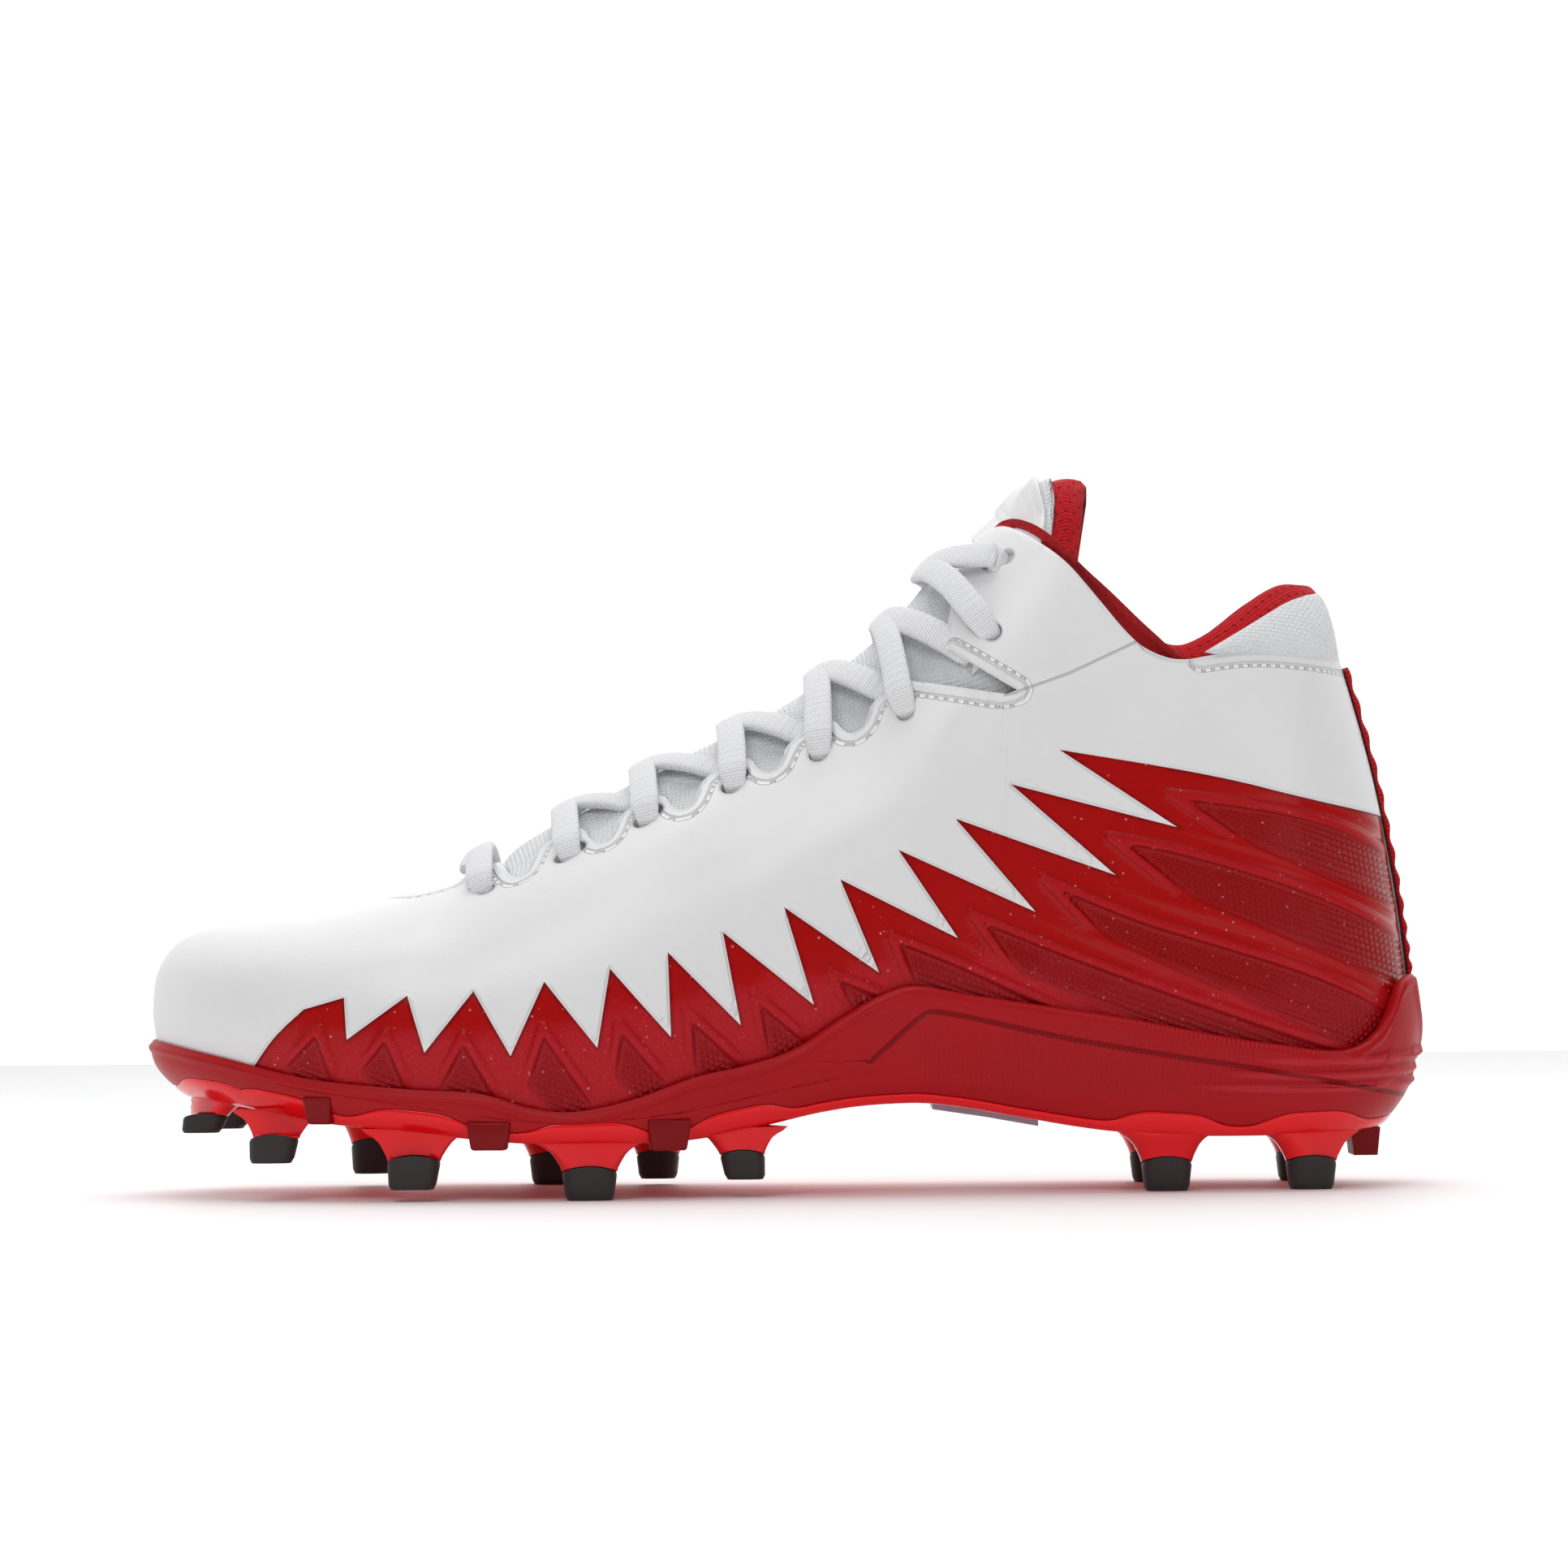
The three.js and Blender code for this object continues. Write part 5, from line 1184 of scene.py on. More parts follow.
def throat_half(stations):
    """How wide the throat is round each station, in steps of the last from the ridge."""
    outline = carried_out(opening_outline(), FAR)
    steps = np.arange(0, 1, 0.01)
    reach = []
    for station in stations:
        halves = []
        for shift in (-0.25, -0.12, 0, 0.12, 0.25):
            u = np.full(len(steps), station + shift)
            open_here = np.ones(len(steps), bool)
            for side in (-1, 1):
                open_here &= inside(last_point(u, side * steps)[:, [0, 2]], outline)
            halves.append(steps[np.argmin(open_here)] if not open_here.all() else 1.0)
        reach.append(min(halves))
    return np.array(reach)


def tongue_face(u, v, half, throat, sunk):
    """A point of the tongue's face, sunk below it."""
    crown = np.maximum(throat - 0.04, half * 0.15)
    rise = ease(0.04, 0.12, throat)
    away = np.abs(v) / crown
    swell = np.interp(away, [0, 0.3, 0.6, 0.85, 1, 1.2], [1, 0.97, 0.75, 0.32, 0.06, 0])
    height = TONGUE_FACE + (TONGUE_CROWN - TONGUE_FACE) * swell * rise - sunk
    return off_last(u, v, height)


def tongue_tables():
    stations = np.array(TONGUE["station"], float)
    return stations, np.array(TONGUE["half"], float), throat_half(stations)


def tongue_slab(name, front, thick, start, end, grow, round_off, puff=0.0):
    """A closed layer of the tongue with rounded edges, between two stations."""
    stations, halves, throats = tongue_tables()
    rows, columns = 120, 64

    def place(row, column):
        u = start + (end - start) * row
        half = np.interp(u, stations, halves) + grow
        throat = np.interp(u, stations, throats)
        tip = np.sqrt(np.clip(1 - np.clip((row - 1 + round_off) / round_off, 0, 1) ** 2, 0, 1))
        half = half * (0.35 + 0.65 * tip) if round_off else half
        angle = 2 * math.pi * column
        across = squarer(np.cos(angle), 0.6)
        deep = (1 - squarer(np.sin(angle), 0.45)) / 2
        end_round = np.sqrt(np.clip(1 - np.clip((row - 0.945) / 0.055, 0, 1) ** 2, 0, 1))
        deep = 0.5 + (deep - 0.5) * end_round
        swell = puff * hump(across, 0, 1.2) * (1 - 2 * deep)
        return tongue_face(u, -across * half, half, throat, front + thick * deep - swell)

    return closed_mesh(grid_mesh(rows, columns, place, anchor=columns // 4), name)


def build_tongue():
    front = tongue_slab("tongue_mesh", 0.0, 2.6, 5.1, 11.95, 0.0, 0.06)
    finish_piece("tongue_mesh", front, ["tongue"], mesh_material("tongue_mesh"))
    back = tongue_slab("tongue_knit", 1.9, 6.2, 5.2, 12.3, 0.03, 0.05, 0.5)
    piece = finish_piece("tongue_knit", back, ["tongue_lining"], knit_material())
    patch = tongue_slab("tongue_patch", -1.2, 1.8, 11.15, 11.84, -0.12, 0.3)
    finish_piece("tongue_patch", patch, [], plain_white_material())


def path_on_last(table, count):
    """Evenly spaced stations and steps of a side view line on the outer side, ended on the ridge at the back."""
    line = refined(rounded(outline_of(table), 3), 1.0)
    u, v = locate(line[:, 0], line[:, 1], 1)
    closing = (v < 0.02) & (line[:, 0] > along(85))
    stop = int(np.argmax(closing)) if closing.any() else len(v) - 1
    u, v = u[: stop + 1], v[: stop + 1]
    v[-1] = 0
    run = np.pad(np.cumsum(np.linalg.norm(np.diff(last_point(u, -v), axis=0), axis=1)), (1, 0))
    places = np.linspace(0, run[-1], count)
    return np.interp(places, run, u), np.interp(places, run, v)


def band_between(name, lower, upper, profile, columns, flat=0.0, anchor=0):
    """A band round the collar. profile gives each column's share from the lower to the upper line and its height.

    Up to the share flat of the way round, the band stays below the wall.
    """
    low_u, low_v = lower
    up_u, up_v = upper
    shares, heights = profile
    rows = 2 * len(low_u)

    def place(row, column):
        side = np.where(row < 0.5, -1.0, 1.0)
        t = np.where(row < 0.5, row * 2, 2 - row * 2)
        spots = np.linspace(0, 1, len(low_u))
        share = np.interp(column, np.linspace(0, 1, len(shares)), shares)
        height = np.interp(column, np.linspace(0, 1, len(heights)), heights)
        u = np.interp(t, spots, low_u) * (1 - share) + np.interp(t, spots, up_u) * share
        v = np.interp(t, spots, low_v) * (1 - share) + np.interp(t, spots, up_v) * share
        if flat:
            under = np.interp(height, [min(heights), max(heights)], [-WALL - 1.0, -WALL - 0.15])
            height = under + (height - under) * ease(flat - 0.08, flat + 0.08, t)
        thin = 0.25 + 0.75 * ease(0, 0.03, t)
        middle = np.mean(heights)
        return off_last(u, side * np.clip(v, 0, 1), middle + (height - middle) * thin)

    return closed_mesh(grid_mesh(rows, columns, place, anchor), name)


def loop_profile(points, count=40):
    """A closed profile eased through a few corners, as columns of shares and heights."""
    corners = np.array(points, float)
    n = len(corners)
    t = np.linspace(0, n, count)
    k = np.minimum(np.floor(t).astype(int), n - 1)
    f = (t - k)[:, None]
    eased = smooth(corners[(k - 1) % n], corners[k % n], corners[(k + 1) % n], corners[(k + 2) % n], f)
    return eased[:, 0], eased[:, 1]


def build_lining():
    count = 190
    foot = path_on_last(LINING_FOOT, count)
    top = path_on_last(LINING_TOP, count)
    corners = [(0, -3.2), (0, -5.6), (0.35, -6.3), (0.7, -6.3), (0.93, -5.8), (1.0, -3.6), (0.97, -1.5), (0.86, -0.5),
               (0.74, -1.2), (0.66, -3.1), (0.3, -3.1)]
    lining = band_between("collar_knit", foot, top, loop_profile(corners, 56), 56, FRONT_SHARE, 30)
    piece = finish_piece("collar_knit", lining, ["collar_lining"], knit_material())


def build_heel_pad():
    count = 60
    low = path_on_last({"at": COLLAR["at"][6:], "up": COLLAR["up"][6:]}, count)
    top = path_on_last(ROLL_FOOT, count)
    corners = [(-0.2, -0.8), (0.1, 0.1), (0.5, 0.5), (0.9, 0.2), (1.1, -0.8), (0.9, -2), (0.1, -2)]
    pad = band_between("heel_pad", low, top, loop_profile(corners, 30), 30, 0.0, 9)
    piece = finish_piece("heel_pad", pad, ["heel_collar_pad"], mesh_material("heel_pad"))


def build_tape():
    stations = even_stations(400)
    ridge = last_point(stations, 0)
    rear = ridge[:, 0] > along(80)
    top_u = stations[rear & (ridge[:, 2] < above(TAPE_TOP))][0]
    low_u = stations[rear & (ridge[:, 2] > TAPE_FOOT)][-1]

    def place(row, column):
        u = top_u + (low_u - top_u) * row
        angle = 2 * math.pi * column
        across = squarer(np.cos(angle), 0.5)
        height = 0.3 + 0.6 * (1 + squarer(np.sin(angle), 0.5))
        wide = np.linalg.norm(last_point(u, 0.05) - last_point(u, -0.05), axis=1)
        height = height + 0.3 * np.sin(2 * math.pi * TAPE_WAVES * row) * (height > 0.9)
        return off_last(u, -across * 0.1 * TAPE_WIDTH / 2 / np.maximum(wide, 1), height)

    mesh = closed_mesh(grid_mesh(120, 24, place, anchor=6), "heel_webbing")
    finish_piece("heel_webbing", mesh, ["heel_tape"], webbing_material())


def build_insole():
    u_all, side_all = perimeter(150)
    count = len(u_all)

    def place(row, column):
        i = nth(row, count)
        u, side = u_all[i], side_all[i]
        s = section(u)
        t = column
        edge = off_last(u, side * 0.97, np.full(u.shape, -WALL - 0.5))
        spine = spine_of(s, s["foot_z"] + 3.6)
        point = edge + (spine - edge) * t[:, None]
        point[:, 2] = s["foot_z"] + 3.6 + 1.6 * (1 - ease(0, 0.3, t))
        return point

    bm = grid_mesh(count, 24, place, anchor=23)
    mesh = applied(to_mesh(bm, "sock"), ("SOLIDIFY", {"thickness": 2.6 * MM, "offset": -1}))
    bm = bmesh.new()
    bm.from_mesh(mesh)
    bmesh.ops.recalc_face_normals(bm, faces=bm.faces)
    finish_piece("sock_liner", to_mesh(bm, "sock_liner"), ["insole"], liner_material())


# Lace


def lace_path(k, side):
    """Half a crossing: out of an eyelet, over the ridge, and down to where it meets the other side."""
    eyelet = LACES["eyelet"][k]
    eyelet_u, eyelet_v = locate(along(EYELETS["at"][eyelet]), above(EYELETS["up"][eyelet]), -1)
    start_u, start_v = float(eyelet_u), -abs(float(eyelet_v))
    crest = LACES["crest"][k]
    path = []

    def add(share, end_u, end_v, height):
        path.append((crest + (end_u - crest) * share**1.5, side * end_v * share, height))

    for share, height in LACE_DIVE:
        add(share, start_u, start_v, height)
    for share in (0.94, 0.82, 0.66, 0.5, 0.32, 0.16, 0.0):
        add(share, start_u, start_v, LACE_REST + TONGUE_CROWN * (1 - share**2))
    end_u, end_v = (float(value) for value in locate(*LACES["end"][k], 1))
    top_crossing = k == len(LACES["name"]) - 1
    drop = 0.3 if top_crossing or not k else LACE_DROP
    for share in (0.16, 0.32, 0.5, 0.66, 0.85, 1.0):
        add(share, end_u, end_v, LACE_REST + TONGUE_CROWN * (1 - share**2) - drop * share**3)
    if top_crossing:
        for share, height in reversed(LACE_DIVE):
            add(share, end_u, end_v, height)
    elif k:
        add(1.25, end_u, end_v, LACE_REST - drop - 1)
    return np.array(path, float)


def lace_mesh(path):
    """A flat woven tube along places on the last."""
    n = len(path)
    t = np.linspace(0, n - 1, STRAND_ROWS)
    k = np.minimum(np.floor(t).astype(int), n - 2)
    f = (t - k)[:, None]
    eased = smooth(path[np.maximum(k - 1, 0)], path[k], path[k + 1], path[np.minimum(k + 2, n - 1)], f)
    centres = off_last(eased[:, 0], eased[:, 1], eased[:, 2])
    ahead = unit(np.gradient(centres, axis=0))
    up = last_normal(eased[:, 0], eased[:, 1])
    up = unit(up - ahead * np.sum(up * ahead, axis=1, keepdims=True))
    wide = np.cross(up, ahead)
    run = np.pad(np.cumsum(np.linalg.norm(np.diff(centres, axis=0), axis=1)), (1, 0))
    width, thick = sizes().lace_width / MM, sizes().lace_thickness / MM

    def place(row, column):
        i = nth(row, len(t))
        angle = 2 * math.pi * column
        tight = 1 - 0.22 * hump(run[i], 3, 6) - 0.15 * (run[i] > run[-1] - 2)
        a = squarer(np.cos(angle), 0.75) * width / 2 * tight
        b = squarer(np.sin(angle), 0.75) * thick / 2
        return centres[i] + wide[i] * a[:, None] + up[i] * b[:, None]

    return closed_mesh(grid_mesh(len(t), STRAND_SIDES, place, anchor=6), "strand")


def build_lace():
    bm = bmesh.new()
    for k in range(len(LACES["name"])):
        for side in (-1, 1):
            strand = lace_mesh(lace_path(k, side))
            bm.from_mesh(strand)
            bpy.data.meshes.remove(strand)
    mesh = to_mesh(bm, "lace")
    finish_piece("lace", mesh, LACES["name"], lace_material())


# Materials


class Shader:
    """One node tree, with short calls to add nodes to it."""

    def __init__(self, tree):
        self.tree = tree

    def add(self, kind, sockets=None, **settings):
        node = self.tree.nodes.new(kind)
        for key, value in settings.items():
            setattr(node, key, value)
        for key, value in (sockets or {}).items():
            self.feed(node.inputs[key], value)
        return node

    def feed(self, socket, value):
        if isinstance(value, bpy.types.NodeSocket):
            self.tree.links.new(value, socket)
        else:
            socket.default_value = value

    def math(self, operation, a, b=0.0, c=0.0, clamp=False):
        node = self.add("ShaderNodeMath", {0: a, 1: b, 2: c}, operation=operation, use_clamp=clamp)
        return node.outputs[0]

    def mix(self, factor, a, b):
        node = self.add("ShaderNodeMix", {0: factor, 6: a, 7: b}, data_type="RGBA")
        return node.outputs[2]

    def attribute(self, name):
        return self.add("ShaderNodeAttribute", attribute_name=name).outputs["Fac"]

    def span(self, value, low, high, to_low=0.0, to_high=1.0, smooth_steps=True):
        node = self.add("ShaderNodeMapRange", {0: value, 1: low, 2: high, 3: to_low, 4: to_high})
        node.interpolation_type = "SMOOTHSTEP" if smooth_steps else "LINEAR"
        return node.outputs[0]

    def noise(self, scale, detail=2.0, vector=None):
        node = self.add("ShaderNodeTexNoise", {"Scale": scale, "Detail": detail})
        self.tree.links.new(vector or self.position(), node.inputs["Vector"])
        return node.outputs["Fac"]

    def position(self):
        return self.add("ShaderNodeTexCoord").outputs["Object"]

    def cloth(self):
        """The cloth's own millimetres along and across."""
        return self.parts(self.add("ShaderNodeTexCoord").outputs["UV"])

    def wave(self, value, length):
        return self.math("SINE", self.math("MULTIPLY", value, 2 * math.pi / length))

    def total(self, *values):
        whole = values[0]
        for value in values[1:]:
            whole = self.math("ADD", whole, value)
        return whole

    def parts(self, vector):
        return self.add("ShaderNodeSeparateXYZ", {0: vector}).outputs

    def group(self, name, sockets):
        if name not in bpy.data.node_groups:
            GROUP_MAKERS[name]()
        node = self.add("ShaderNodeGroup", node_tree=bpy.data.node_groups[name])
        for key, value in sockets.items():
            self.feed(node.inputs[key], value)
        return node


def new_group(name, inputs, outputs):
    """A shader node group with number inputs and outputs."""
    tree = bpy.data.node_groups.new(name, "ShaderNodeTree")
    for key, value in inputs.items():
        kind = "NodeSocketVector" if value is None else "NodeSocketFloat"
        socket = tree.interface.new_socket(name=key, in_out="INPUT", socket_type=kind)
        if value is not None:
            socket.default_value = value
    for key in outputs:
        tree.interface.new_socket(name=key, in_out="OUTPUT", socket_type="NodeSocketFloat")
    start = tree.nodes.new("NodeGroupInput")
    end = tree.nodes.new("NodeGroupOutput")
    return Shader(tree), start.outputs, end.inputs


def make_grain_group():
    """Fine leather grain: a height in millimetres and a mottling mask."""
    shader, given, made = new_group("Fine grain", {"Position": None, "Size": 0.7, "Depth": 0.02}, ["Height", "Mottle"])
    scale = shader.math("DIVIDE", 1000.0, given["Size"])
    cells = shader.add("ShaderNodeTexVoronoi", {"Vector": given["Position"], "Scale": scale})
    wrinkle = shader.add("ShaderNodeTexNoise", {"Vector": given["Position"], "Scale": scale, "Detail": 3.0})
    both = shader.math("ADD", cells.outputs["Distance"], wrinkle.outputs["Fac"])
    shader.feed(made["Height"], shader.math("MULTIPLY", both, given["Depth"]))
    broad = shader.add("ShaderNodeTexNoise", {"Vector": given["Position"], "Scale": 40.0, "Detail": 4.0})
    shader.feed(made["Mottle"], broad.outputs["Fac"])


def make_ridge_group():
    """A rounded ridge or groove at a distance from a line."""
    names = {"Distance": 0.0, "At": 0.0, "Half width": 1.0, "Depth": 0.1}
    shader, given, made = new_group("Edge ridge", names, ["Height", "Mask"])
    away = shader.math("ABSOLUTE", shader.math("SUBTRACT", given["Distance"], given["At"]))
    share = shader.math("DIVIDE", away, given["Half width"])
    mask = shader.span(share, 1.0, 0.0)
    shader.feed(made["Mask"], mask)
    shader.feed(made["Height"], shader.math("MULTIPLY", mask, given["Depth"]))


def make_stitch_group():
    """A row of stitches at a distance from an edge."""
    names = {"Distance": 0.0, "Run": 0.0, "At": 3.0, "Pitch": 2.4, "Half width": 0.55}
    shader, given, made = new_group("Stitch row", names, ["Thread", "Hole"])
    away = shader.math("ABSOLUTE", shader.math("SUBTRACT", given["Distance"], given["At"]))
    row = shader.span(shader.math("DIVIDE", away, given["Half width"]), 1.0, 0.4)
    place = shader.math("FRACT", shader.math("DIVIDE", given["Run"], given["Pitch"]))
    middle = shader.math("ABSOLUTE", shader.math("SUBTRACT", place, 0.5))
    thread = shader.span(middle, 0.36, 0.28)
    shader.feed(made["Thread"], shader.math("MULTIPLY", row, thread))
    shader.feed(made["Hole"], shader.math("MULTIPLY", row, shader.math("SUBTRACT", 1.0, thread)))


def make_flake_group():
    """Tiny bright flakes in a coating."""
    shader, given, made = new_group("Flakes", {"Position": None, "Size": 0.5, "Share": 0.1}, ["Mask"])
    scale = shader.math("DIVIDE", 1000.0, given["Size"])
    cells = shader.add("ShaderNodeTexVoronoi", {"Vector": given["Position"], "Scale": scale})
    chance = shader.parts(cells.outputs["Color"])[0]
    core = shader.span(cells.outputs["Distance"], 0.45, 0.2)
    picked = shader.span(chance, shader.math("SUBTRACT", 1.0, given["Share"]), 1.0, smooth_steps=False)
    shader.feed(made["Mask"], shader.math("MULTIPLY", core, picked, clamp=True))


def make_weave_group():
    """Crossed yarns over a cloth's own axes in millimetres, and a mask of the gaps between them that the materials
    darken as painted shade.
    """
    shader, given, made = new_group("Weave", {"Across": 0.0, "Along": 0.0, "Pitch": 1.0}, ["Height", "Gap shade"])
    a = shader.math("DIVIDE", given["Across"], given["Pitch"])
    b = shader.math("DIVIDE", given["Along"], given["Pitch"])
    odd = shader.math("MULTIPLY", shader.math("MODULO", shader.math("FLOOR", b), 2.0), 0.5)
    a = shader.math("ADD", a, odd)
    x = shader.math("SINE", shader.math("MULTIPLY", a, 2 * math.pi))
    y = shader.math("SINE", shader.math("MULTIPLY", b, 2 * math.pi))
    height = shader.math("MULTIPLY", shader.math("ADD", x, 1.0), shader.math("ADD", y, 1.0))
    height = shader.math("MULTIPLY", height, 0.25)
    shader.feed(made["Height"], height)
    shader.feed(made["Gap shade"], shader.span(height, 0.12, 0.0))


GROUP_MAKERS = {
    "Fine grain": make_grain_group,
    "Edge ridge": make_ridge_group,
    "Stitch row": make_stitch_group,
    "Flakes": make_flake_group,
    "Weave": make_weave_group,
}


def new_material(name, base, roughness, **sockets):
    """A material with its shader, ready for nodes. Height goes in as millimetres."""
    material = bpy.data.materials.new(name)
    material.use_nodes = True
    tree = material.node_tree
    tree.nodes.clear()
    shader = Shader(tree)
    principled = shader.add("ShaderNodeBsdfPrincipled", {"Base Color": base, "Roughness": roughness})
    for key, value in sockets.items():
        principled.inputs[key.replace("_", " ")].default_value = value
    shader.add("ShaderNodeOutputMaterial", {"Surface": principled.outputs[0]})
    return material, shader, principled.inputs


def raise_surface(shader, sockets, height):
    bump = shader.add("ShaderNodeBump", {"Strength": 1.0, "Distance": MM, "Height": height})
    shader.feed(sockets["Normal"], bump.outputs[0])


def colour(name):
    """A colour of the settings, with its alpha."""
    return (*getattr(bpy.context.scene.cleat_colours, name), 1.0)


def shaded(value, factor):
    return (*(part * factor for part in value[:3]), 1.0)


def upper_material():
    white = colour("shell")
    material, shader, sockets = new_material("white_shell", white, 0.36, Coat_Weight=0.15, Coat_Roughness=0.3)
    edge, hem, run = shader.attribute("edge"), shader.attribute("hem"), shader.attribute("run")
    teeth, seam, slot = shader.attribute("teeth"), shader.attribute("seam"), shader.attribute("slot")
    inset, pitch = sizes().stitch_inset / MM, sizes().stitch_pitch / MM
    grain = shader.group("Fine grain", {"Position": shader.position(), "Size": 0.8, "Depth": 0.02}).outputs
    rim = shader.span(hem, inset - 0.6, inset - 1.3)
    roll = shader.span(edge, 0.0, 1.1, -0.7, 0.0)
    stitch = shader.group("Stitch row", {"Distance": hem, "Run": run, "At": inset, "Pitch": pitch}).outputs
    bevel = shader.span(teeth, 0.0, 0.8, -0.4, 0.0)
    lip = shader.group("Edge ridge", {"Distance": teeth, "At": 1.2, "Half width": 0.9, "Depth": 0.08}).outputs
    cut = shader.span(slot, 0.0, 0.7, -0.3, 0.0)
    joint = shader.group("Edge ridge", {"Distance": seam, "At": 0.0, "Half width": 0.55, "Depth": -0.35}).outputs
    height = shader.total(
        shader.math("MULTIPLY", rim, 0.5), roll, bevel, cut, lip["Height"], joint["Height"], grain["Height"],
        shader.math("MULTIPLY", stitch["Thread"], 0.36), shader.math("MULTIPLY", stitch["Hole"], -0.3),
    )
    raise_surface(shader, sockets, height)
    # Painted shade: the stitch holes and a thin line along the foot of the rolled rim, which has no relief of its own,
    # are painted darker; the seam groove is darkened too
    foot = shader.group("Edge ridge", {"Distance": hem, "At": inset - 0.7, "Half width": 0.45, "Depth": 0.0}).outputs
    shade = shader.math("MULTIPLY", stitch["Hole"], 0.5)
    shade = shader.math("MAXIMUM", shade, shader.math("MULTIPLY", joint["Mask"], 0.6))
    shade = shader.math("MAXIMUM", shade, shader.math("MULTIPLY", foot["Mask"], 0.16))
    tone = shader.mix(grain["Mottle"], shaded(white, 0.97), shaded(white, 1.02))
    # Painted shade: the rolled rim along the opening is painted a little greyer
    clear = shader.mix(shader.math("MULTIPLY", rim, 0.35), tone, (0.72, 0.73, 0.73, 1))
    clear = shader.mix(stitch["Thread"], clear, shaded(white, 1.14))
    shader.feed(sockets["Base Color"], shader.mix(shade, clear, shaded(white, 0.4)))
    shader.feed(sockets["Roughness"], shader.span(grain["Mottle"], 0.3, 0.7, 0.33, 0.42))
    return material


def skin_material():
    """Moulded film: deep and glossy above, satin and speckled below and on its ridges."""
    if "moulded_skin" in bpy.data.materials:
        return bpy.data.materials["moulded_skin"]
    deep, satin_red = colour("skin_gloss"), colour("skin_satin")
    material, shader, sockets = new_material("moulded_skin", deep, 0.26, Coat_Weight=0.09, Coat_Roughness=0.12)
    sockets["Specular IOR Level"].default_value = 0.15
    place = shader.position()
    x, _, z = shader.parts(place)
    field, rim = shader.attribute("field"), shader.attribute("rim")
    ridge = shader.math("MULTIPLY", shader.span(shader.attribute("ridge"), 1.0, 0.3), shader.attribute("high"))
    low_line = shader.total(shader.span(x, -0.12, 0.06, 0.036, 0.056), shader.span(x, 0.02, 0.14, 0.0, -0.01))
    cloud = shader.math("MULTIPLY", shader.math("SUBTRACT", shader.noise(90.0, 3.0), 0.5), 0.014)
    over = shader.math("ADD", shader.math("SUBTRACT", z, low_line), cloud)
    satin = shader.span(over, 0.003, -0.003)
    satin = shader.math("MAXIMUM", satin, shader.math("MULTIPLY", shader.span(ridge, 0.45, 0.8), 0.55))
    flakes = shader.group("Flakes", {"Position": place, "Size": 0.55, "Share": 0.35}).outputs["Mask"]
    glint = shader.group("Flakes", {"Position": place, "Size": 0.8, "Share": 0.03}).outputs["Mask"]
    speckle = shader.math("MULTIPLY", flakes, shader.span(satin, 0.0, 1.0, 0.04, 0.35, False))
    tone = shader.mix(satin, deep, satin_red)
    tone = shader.mix(speckle, tone, (0.7, 0.1, 0.12, 1))
    tone = shader.mix(shader.math("MULTIPLY", glint, 0.5), tone, (0.9, 0.5, 0.48, 1))
    wide, up = shader.math("MULTIPLY", x, 1000.0), shader.math("MULTIPLY", z, 1000.0)
    across = shader.total(shader.math("MULTIPLY", wide, 0.94), shader.math("MULTIPLY", up, -0.34))
    upward = shader.total(shader.math("MULTIPLY", up, 0.94), shader.math("MULTIPLY", wide, 0.34))
    scales = shader.group("Weave", {"Across": across, "Along": upward, "Pitch": sizes().scale_pitch / MM}).outputs
    shadow = shader.span(rim, 0.9, 0.0, 0.0, 0.6)
    inner = shader.span(field, 1.4, 2.6)
    trench = shader.math("MULTIPLY", shader.span(field, 0.4, 1.3), shader.span(field, 2.6, 1.6))
    shadow = shader.math("MAXIMUM", shadow, shader.math("MULTIPLY", trench, 0.3))
    shadow = shader.math("MAXIMUM", shadow, shader.math("MULTIPLY", shader.math("MULTIPLY", scales["Gap shade"], inner), 0.5))
    shader.feed(sockets["Base Color"], shader.mix(shadow, tone, (0.09, 0.0, 0.002, 1)))
    shader.feed(sockets["Roughness"], shader.span(satin, 0.0, 1.0, 0.2, 0.42, False))
    pebble = shader.group("Fine grain", {"Position": place, "Size": 0.6, "Depth": 0.05}).outputs["Height"]
    height = shader.total(
        shader.math("MULTIPLY", shader.math("MULTIPLY", scales["Height"], inner), 0.6),
        shader.math("MULTIPLY", shader.span(field, 0.4, 1.4), -0.35),
        shader.math("MULTIPLY", ridge, (1 - SKIN_SHAPE) * sizes().skin_relief / MM),
        shader.math("MULTIPLY", pebble, satin),
    )
    raise_surface(shader, sockets, height)
    return material


def midsole_material():
    if "satin_midsole" in bpy.data.materials:
        return bpy.data.materials["satin_midsole"]
    base = colour("midsole")
    material, shader, sockets = new_material("satin_midsole", base, 0.42, Coat_Weight=0.05, Coat_Roughness=0.25)
    sockets["Specular IOR Level"].default_value = 0.16
    place = shader.position()
    x, _, z = shader.parts(place)
    grain = shader.group("Fine grain", {"Position": place, "Size": 0.35, "Depth": 0.014}).outputs
    groove, relief = shader.attribute("groove"), shader.attribute("relief")
    line = shader.group("Edge ridge", {"Distance": groove, "At": 0.0, "Half width": 0.8, "Depth": -0.55}).outputs
    under = shader.math("MULTIPLY", shader.span(z, 0.0215, 0.0245), shader.span(z, 0.042, 0.036))
    zone = shader.math("MULTIPLY", shader.span(x, 0.028, 0.036), shader.span(x, 0.135, 0.11))
    combs = shader.math("MULTIPLY", shader.wave(x, 0.0011), shader.math("MULTIPLY", under, zone))
    raise_surface(shader, sockets, shader.total(grain["Height"], line["Height"], shader.math("MULTIPLY", combs, 0.07)))
    tone = shader.mix(grain["Mottle"], shaded(base, 0.92), shaded(base, 1.1))
    # Painted highlight: the raised heel ribs are lightened
    tone = shader.mix(shader.math("MULTIPLY", shader.span(relief, 0.1, 0.5), 0.3), tone, (0.62, 0.05, 0.07, 1))
    # Painted shade darkens the groove line
    shader.feed(sockets["Base Color"], shader.mix(shader.math("MULTIPLY", line["Mask"], 0.55), tone, shaded(base, 0.2)))
    shader.feed(sockets["Roughness"], shader.span(grain["Mottle"], 0.3, 0.7, 0.36, 0.46))
    return material


